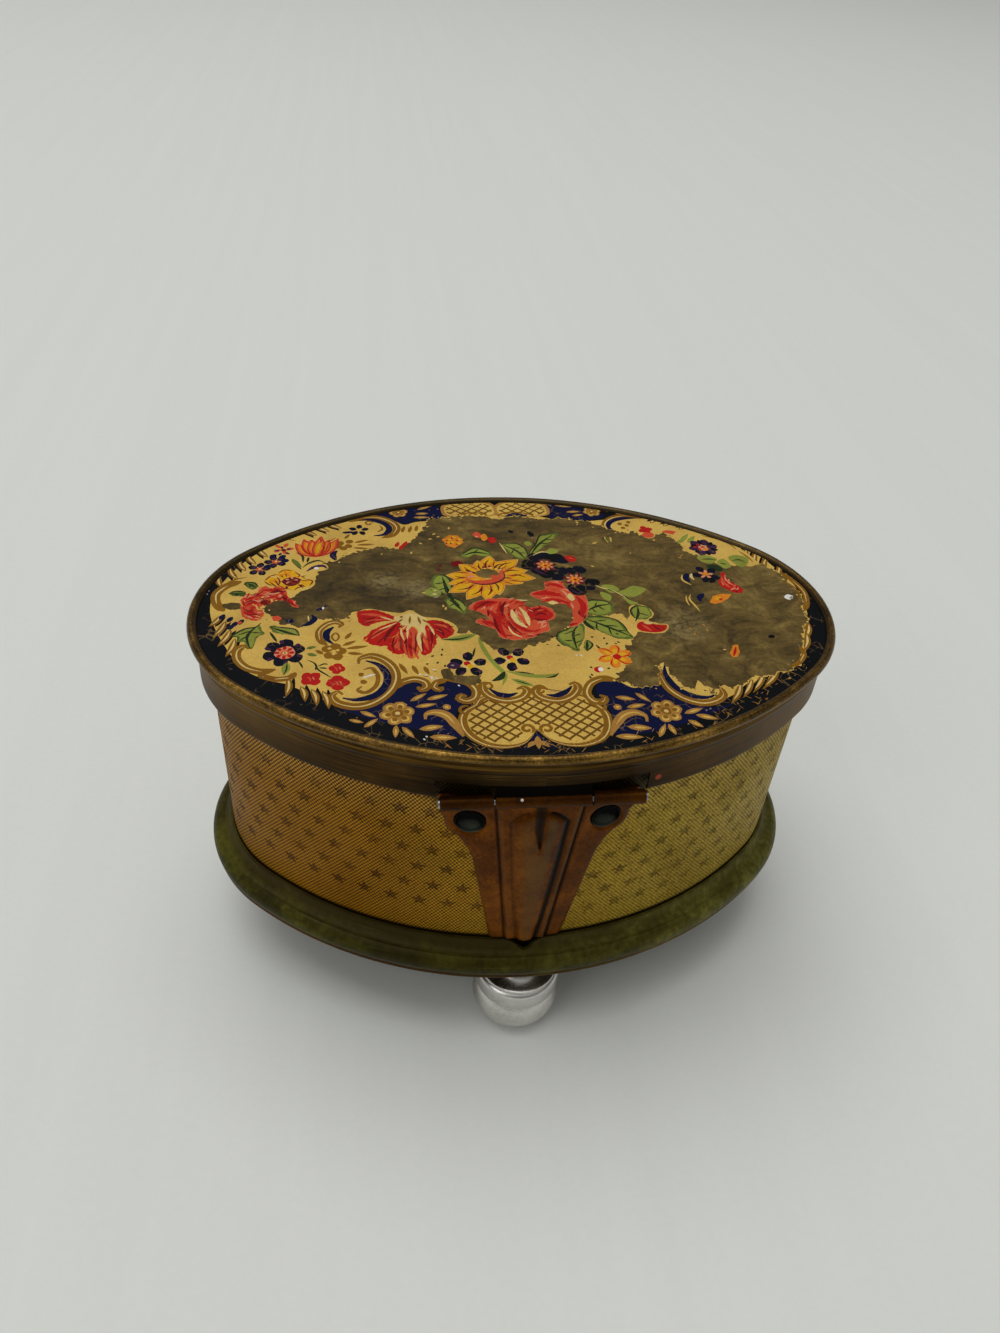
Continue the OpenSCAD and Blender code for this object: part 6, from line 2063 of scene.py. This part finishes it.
def rivet_piece():
    """Dished rivets through the ears, each with a set head inside."""
    section = [(0.0, -2.4), (2.2, -2.4), (2.55, -2.3), (2.6, -2.1), (2.6, -1.98), (3.2, -1.95),
               (3.38, -1.85), (3.4, -1.6), (3.3, -1.48), (2.6, -1.45), (2.6, -0.25), (2.55, -0.15),
               (2.44, -0.12), (2.36, -0.2)]
    dish_r = 2.9
    for a in np.radians(np.linspace(52, 6, 12)):
        section.append((dish_r * math.sin(a), 1.0 - dish_r * math.cos(a)))
    section.append((0.0, -1.9))
    parts = []
    for side in (-1, 1):
        part = turned("rivet", section, (0, 0), 48)
        part.data.transform(ear_place(side))
        parts.append(outward(part))
    dress(joined("ear_rivets", parts), RIVET, "body", "hinge_rivets")


# Body

STAR_R = 1.85
STAR_PITCH = 5.3
STAR_ROW = 4.8
STAR_DEEP = 0.07


def star(cx, cz, size, turn):
    """A five-pointed star, slightly flattened."""
    out = []
    for i in range(10):
        radius = size if i % 2 == 0 else size * 0.4
        a = turn + math.pi / 2 + i * math.pi / 5
        out.append((cx + radius * math.cos(a), cz + radius * math.sin(a) * 0.93))
    return np.array(out)


def star_loops(whole):
    """Outlines of all the stars on the unrolled wall, and the outlines of their sunk middles."""
    pick = random.Random(11)
    loops, cores = [], []
    for j in range(-3, 6):
        for i in range(57):
            s = 3.0 + STAR_PITCH * i + 2.6 * (j % 2) + 0.2 * j
            z = 56.6 - STAR_ROW * j + 0.0087 * s
            if 2.0 < s < whole - 2.0 and 27.3 < z < 70:
                turn = pick.uniform(-0.12, 0.12)
                size = STAR_R * pick.uniform(0.94, 1.05)
                loops.append(star(s, z, size, turn))
                cores.append(star(s, z, size * 0.86, turn))
    return loops, cores


def side_wall_piece():
    """The wall's sheet, with each star cut into its face and sunk, and the fold at the mouth."""
    whole = oval_length(WALL_IN)
    low, high = PAN_TOP, 72.6
    around = int(round(whole))
    run = np.linspace(0, whole, around + 1)
    rise = np.linspace(low, high, 54)
    edge = [(s, low) for s in run[:-1]] + [(whole, z) for z in rise[:-1]]
    edge += [(s, high) for s in run[:0:-1]] + [(0.0, z) for z in rise[:0:-1]]
    loops, cores = star_loops(whole)
    loose = [(s, z) for s in run[1:-1:2] for z in rise[1:-1:3]]
    flat, faces = partition([np.array(edge)] + loops + cores, loose)
    centre = flat[faces].mean(1)
    dark = np.zeros(len(faces), bool)
    deep = np.zeros(len(flat), bool)
    for loop, core in zip(loops, cores):
        mid = loop.mean(0)
        near = np.where(np.abs(centre - mid).max(1) < 2.2)[0]
        dark[near[within(loop, centre[near])]] = True
        near = np.where(np.abs(flat - mid).max(1) < 2.2)[0]
        deep[near[within(mid + (core - mid) * 1.04, flat[near])]] = True
    rows = stations_at(np.minimum(flat[:, 0], whole - 1e-9), WALL_IN)
    face = np.column_stack([place(rows, WALL_IN + STAR_DEEP * deep), flat[:, 1]])
    all_faces = [tuple(f) for f in faces]
    uvs = [tuple(flat[i] * MM) for f in faces for i in f]
    fold = [(3.0, 72.6), (3.0, 73.4), (3.08, 73.65), (3.25, 73.81), (3.5, 73.85), (3.75, 73.81),
            (3.95, 73.65), (4.05, 73.4), (4.05, 72.85), (3.95, 72.66), (3.6, 72.6), (3.6, 66.0),
            (3.6, 50.0), (3.6, 34.0), (3.6, PAN_TOP), (3.0, PAN_TOP)]
    ring = stations_at(run[:-1], WALL_IN)
    back = [(x, y, z) for inset, z in fold for x, y in place(ring, inset)]
    for r in range(len(fold) - 1):
        a = len(face) + r * around
        b = a + around
        v0 = 0.075 + 0.002 * r
        v1 = v0 + 0.001
        for i in range(around):
            k = (i + 1) % around
            all_faces.append((a + i, a + k, b + k, b + i))
            u0, u1 = run[i] * MM, run[i + 1] * MM
            uvs += [(u0, v0), (u1, v0), (u1, v1), (u0, v1)]
    obj = mesh("star_wall", np.vstack([face, back]), all_faces, smooth=False)
    unroll(obj, uvs)
    slots = np.zeros(len(obj.data.polygons), np.int32)
    slots[:len(faces)] = dark
    obj.data.polygons.foreach_set("material_index", slots)
    with editing(obj.data) as bm:
        bmesh.ops.remove_doubles(bm, verts=bm.verts, dist=2e-6)
        bmesh.ops.recalc_face_normals(bm, faces=bm.faces)
    shade_smooth(obj.data, 30.0)
    for side in (-1, 1):
        hole = turned("drill", [(0.0, -6.0), (2.7, -6.0), (2.7, 3.0), (0.0, 3.0)], (0, 0), 40)
        hole.data.transform(ear_place(side))
        cut(obj, outward(hole))
    slots = np.zeros(len(obj.data.polygons), np.int32)
    obj.data.polygons.foreach_get("material_index", slots)
    dress(obj, [SHEET, STARS], "body", "side_wall")
    obj.data.polygons.foreach_set("material_index", slots)


def wall_lining_piece():
    """Velvet strip round the inside, with rounded edges and a slightly uneven face."""
    top, low = 72.25, BOARD_TOP
    section = [(-5.02, low + 0.25), (-5.0, low + 2)] + [(-5.0, z) for z in np.linspace(34, 66, 5)]
    section += [(-5.0, top - 0.35)] + arc(-5.5, top - 0.5, 0.5, 0, 180, 10)
    section += [(-6.0, z) for z in np.linspace(66, 30, 13)]
    section += [(-5.98, low + 0.5), (-5.8, low + 0.1), (-5.4, low)]

    def soft(points, rows):
        """Makes the inner face and the top edge uneven."""
        for ring, row in zip(points, rows):
            out = outside(row)
            for p, (inset, _) in zip(ring, section):
                x, y, z = p
                wave = 0.5 + 0.5 * rough(x * 0.16, y * 0.16, z * 0.1)
                p[:2] += out * 0.22 * wave * (inset < -5.9)
                p[2] -= 0.12 * wave * (z > top - 0.6)

    obj = outward(swept("wall_velvet", section, 1.4, soft, sharp=70))
    dress(obj, VELVET, "body", "wall_lining")


def floor_cloth_piece():
    """Velvet laid on the floor board, its edge tucked against the strip."""
    rows = oval_stations(1.3)
    insets = [6.1, 6.16, 6.5, 7.2, 8.5, 11, 14, 18, 22, 26]
    lift = [0.0, 0.45, 0.68, 0.76] + [0.78] * 6

    def height(r, x, y):
        """Height of the cloth on a ring."""
        wave = 0.5 + 0.5 * rough(x * 0.09, y * 0.09, 4.0)
        return BOARD_TOP + lift[r] - (0.16 * wave if r > 2 else 0.0)

    spine = np.array([-22.0, -11.0, 0.0, 11.0, 22.0])
    points, faces = cushion(rows, insets, height, spine, BOARD_TOP + 0.68)
    faces.append(tuple(range(len(rows))))
    obj = outward(mesh("floor_velvet", points, faces, sharp=70))
    dress(obj, VELVET, "body", "floor_cloth")


def base_rim_piece():
    """Base moulding with its cove, swelling, lower bead and the dip under the hinge's tail."""
    rim_t = 0.5
    cove_r = 2.4
    cove = (-WALL_IN + 0.15 + rim_t + cove_r, RIM_TOP)
    swell_r = (RIM_TOP - FOOT_H - cove_r) / 2 + 0.05
    swell = (RIM_OUT - swell_r, FOOT_H + swell_r)
    start = math.degrees(math.acos((cove[0] - swell[0]) / swell_r))
    inner_r = swell_r - rim_t
    ledge = math.degrees(math.asin(min(0.97, (swell_r - 0.8) / inner_r)))
    outer_lip = arc(*cove, cove_r, 180, 270, 14)
    inner_lip = arc(*cove, cove_r + rim_t, 262, 180, 10)
    section = outer_lip + arc(*swell, swell_r, start, -34, 24)
    section += arc(RIM_OUT - 0.95, FOOT_H + 0.6, 0.6, 40, -100, 12)
    section += [(RIM_OUT - 1.3, FOOT_H + 0.2), (-1.2, FOOT_H + 0.2), (-1.2, FOOT_H + 0.8)]
    section += arc(*swell, inner_r, -ledge, start, 12) + inner_lip
    first, last = len(outer_lip), len(section) - len(inner_lip)
    floor_z = RIM_TOP - cove_r
    dip_half, dip_deep, nick = 4.2, 1.95, 0.15

    def dip(points, rows):
        """Lowers both lips of the cove under the hinge's tail, along the cove's own curve."""
        for ring, row in zip(points, rows):
            x, y = ring[0, :2]
            if y > 0 or abs(x) > dip_half + 0.4:
                continue
            drop = dip_deep * float(ramp_up(dip_half - abs(x), 0.0, dip_half)) ** 1.1
            drop += nick * math.exp(-(x / 0.8) ** 2)
            scale = (cove_r - drop) / cove_r
            for j in list(range(first)) + list(range(last, len(section))):
                z = section[j][1]
                if z < floor_z:
                    continue
                new = floor_z + (z - floor_z) * scale
                radius = cove_r if j < first else cove_r + rim_t
                across = cove[0] - math.sqrt(max(radius ** 2 - (cove[1] - new) ** 2, 0.0))
                ring[j, :2] = row[:2] + outside(row) * (row[2] + across)
                ring[j, 2] = new

    obj = swept("base_moulding", section, 0.6, dip, sharp=30)
    dress(obj, PATINA, "body", "base_rim")


def foot_section():
    """Turned foot: flattened ball, groove, band, groove, collar and hollow neck."""
    r, ball_r, belly_r, neck_r = 8.58, 5.4, 9.0, 3.0
    band_low, band_top = 9.35, 13.7
    section = [(0.0, 0.0), (2.6, 0.0), (3.2, 0.02)]
    section += arc(r - ball_r, ball_r, ball_r, -88, 34, 40)
    section += [(7.75, 8.72), (7.66, 8.9), (7.66, 9.05), (7.62, 9.12), (7.62, 9.24)]
    mid = (9 + band_top + 0.35) / 2
    for z in np.linspace(band_low, band_top, 18):
        out = r - 0.15 - belly_r + math.sqrt(belly_r ** 2 - (z - mid) ** 2)
        ends = math.exp(-((z - band_low) / 0.22) ** 2) + math.exp(-((z - band_top) / 0.22) ** 2)
        section.append((out - 0.35 * ends, z))
    section += [(7.66, 13.78), (7.64, 13.95), (7.7, 14.06), (7.82, 14.16), (7.85, 14.35), (7.84, 14.6),
                (7.74, 14.78), (7.55, 14.85)]
    for a in np.radians(np.linspace(268, 186, 20)):
        section.append((7.1 + neck_r * math.cos(a), 17.85 + neck_r * math.sin(a)))
    section += [(4.1, 18.0), (4.1, 19.1), (4.0, 19.3), (0.0, 19.3)]
    return section


def feet_pieces():
    """The four turned feet."""
    for side, spot_at in FEET.items():
        foot = outward(turned("turned_foot_" + side, foot_section(), spot_at, 112, sharp=28))
        dress(foot, SILVER, "body", "foot_" + side)


def carried_over():
    """CAD nodes whose own shape is right keep it and get their finish here."""
    finish = {"base_pan": TIN, "floor_board": CARD, "hinge_pin": STEEL, "foot_studs": STEEL,
              "foot_washers": STEEL, "foot_nuts": STEEL}
    for node, shader in finish.items():
        obj = frame["nodes"][node]
        if obj.material_slots:
            for slot in obj.material_slots:
                slot.link = "OBJECT"
                slot.material = shader.material
        else:
            obj.data.materials.append(shader.material)


lid_panel_piece()
lid_rim_piece()
lid_skirt_piece()
lid_card_piece()
lid_lining_piece()
lid_leaf_piece()
body_leaf_piece()
rivet_piece()
side_wall_piece()
wall_lining_piece()
floor_cloth_piece()
base_rim_piece()
feet_pieces()
carried_over()


# Camera, floor and light

FLOOR_HALF = 2500.0
FLOOR_Z = -0.05
LENS = 27.0
LENS_AT = (-0.02642, -0.14796, 0.1859)
LENS_RIGHT = (0.99238, -0.10672, 0.06171)
LENS_UP = (0.02129, 0.64142, 0.76692)
LENS_BACK = (-0.12143, -0.75976, 0.6388)
SKY = ((0.58, 0.8), (0.68, 0.3), (0.8, 0.18), (0.93, 0.85))
SKY_LIGHT = 0.6


def camera():
    """The camera as it was solved from the photograph."""
    data = bpy.data.cameras.new("camera")
    data.lens = LENS
    data.sensor_width = 36.0
    data.clip_start = 0.01
    data.clip_end = 50.0
    obj = bpy.data.objects.new("camera", data)
    turn = Matrix((LENS_RIGHT, LENS_UP, LENS_BACK)).transposed().to_4x4()
    obj.matrix_world = Matrix.Translation(LENS_AT) @ turn
    bpy.context.scene.collection.objects.link(obj)
    bpy.context.scene.camera = obj


def floor():
    """A wide sheet of pale paper."""
    count = 24
    xs = np.linspace(-FLOOR_HALF, FLOOR_HALF, count)
    points = [(x, y, FLOOR_Z) for y in xs for x in xs]
    corners = [j * count + i for j in range(count - 1) for i in range(count - 1)]
    faces = [(k, k + 1, k + count + 1, k + count) for k in corners]
    obj = mesh("paper_floor", points, faces)
    obj.data.materials.append(PAPER.material)


def lamp(name, spot_at, aim, size, power):
    """A square softbox that faces a place."""
    data = bpy.data.lights.new(name, "AREA")
    data.shape = "RECTANGLE"
    data.size = data.size_y = size
    data.energy = power
    obj = bpy.data.objects.new(name, data)
    obj.location = spot_at
    obj.rotation_euler = (Vector(aim) - Vector(spot_at)).to_track_quat("-Z", "Y").to_euler()
    bpy.context.scene.collection.objects.link(obj)


def world():
    """Studio surroundings: a pale backdrop low down, dimmer higher up and bright overhead."""
    made = bpy.data.worlds.new("studio")
    made.use_nodes = True
    bpy.context.scene.world = made
    tree = made.node_tree
    back = tree.nodes["Background"]
    coord = tree.nodes.new("ShaderNodeTexCoord")
    split = tree.nodes.new("ShaderNodeSeparateXYZ")
    spread = tree.nodes.new("ShaderNodeMapRange")
    bar = tree.nodes.new("ShaderNodeValToRGB")
    spread.inputs["From Min"].default_value = -1.0
    tree.links.new(coord.outputs["Generated"], split.inputs[0])
    tree.links.new(split.outputs["Z"], spread.inputs["Value"])
    tree.links.new(spread.outputs["Result"], bar.inputs["Fac"])
    tree.links.new(bar.outputs["Color"], back.inputs["Color"])
    for at, level in SKY:
        bar.color_ramp.elements.new(at).color = (level, level, level * 0.98, 1)
    bar.color_ramp.elements[0].color = (0.8, 0.8, 0.79, 1)
    bar.color_ramp.elements[-1].color = (1.1, 1.1, 1.1, 1)
    back.inputs["Strength"].default_value = SKY_LIGHT


camera()
floor()
world()
lamp("softbox_above", (-0.5, 0.5, 3.0), (-0.1, 0.2, 0.0), 2.4, 43.0)
lamp("softbox_left", (-1.2, -0.9, 1.3), (0, 0, 0.05), 0.9, 4.0)
bpy.context.scene.view_settings.view_transform = "Standard"
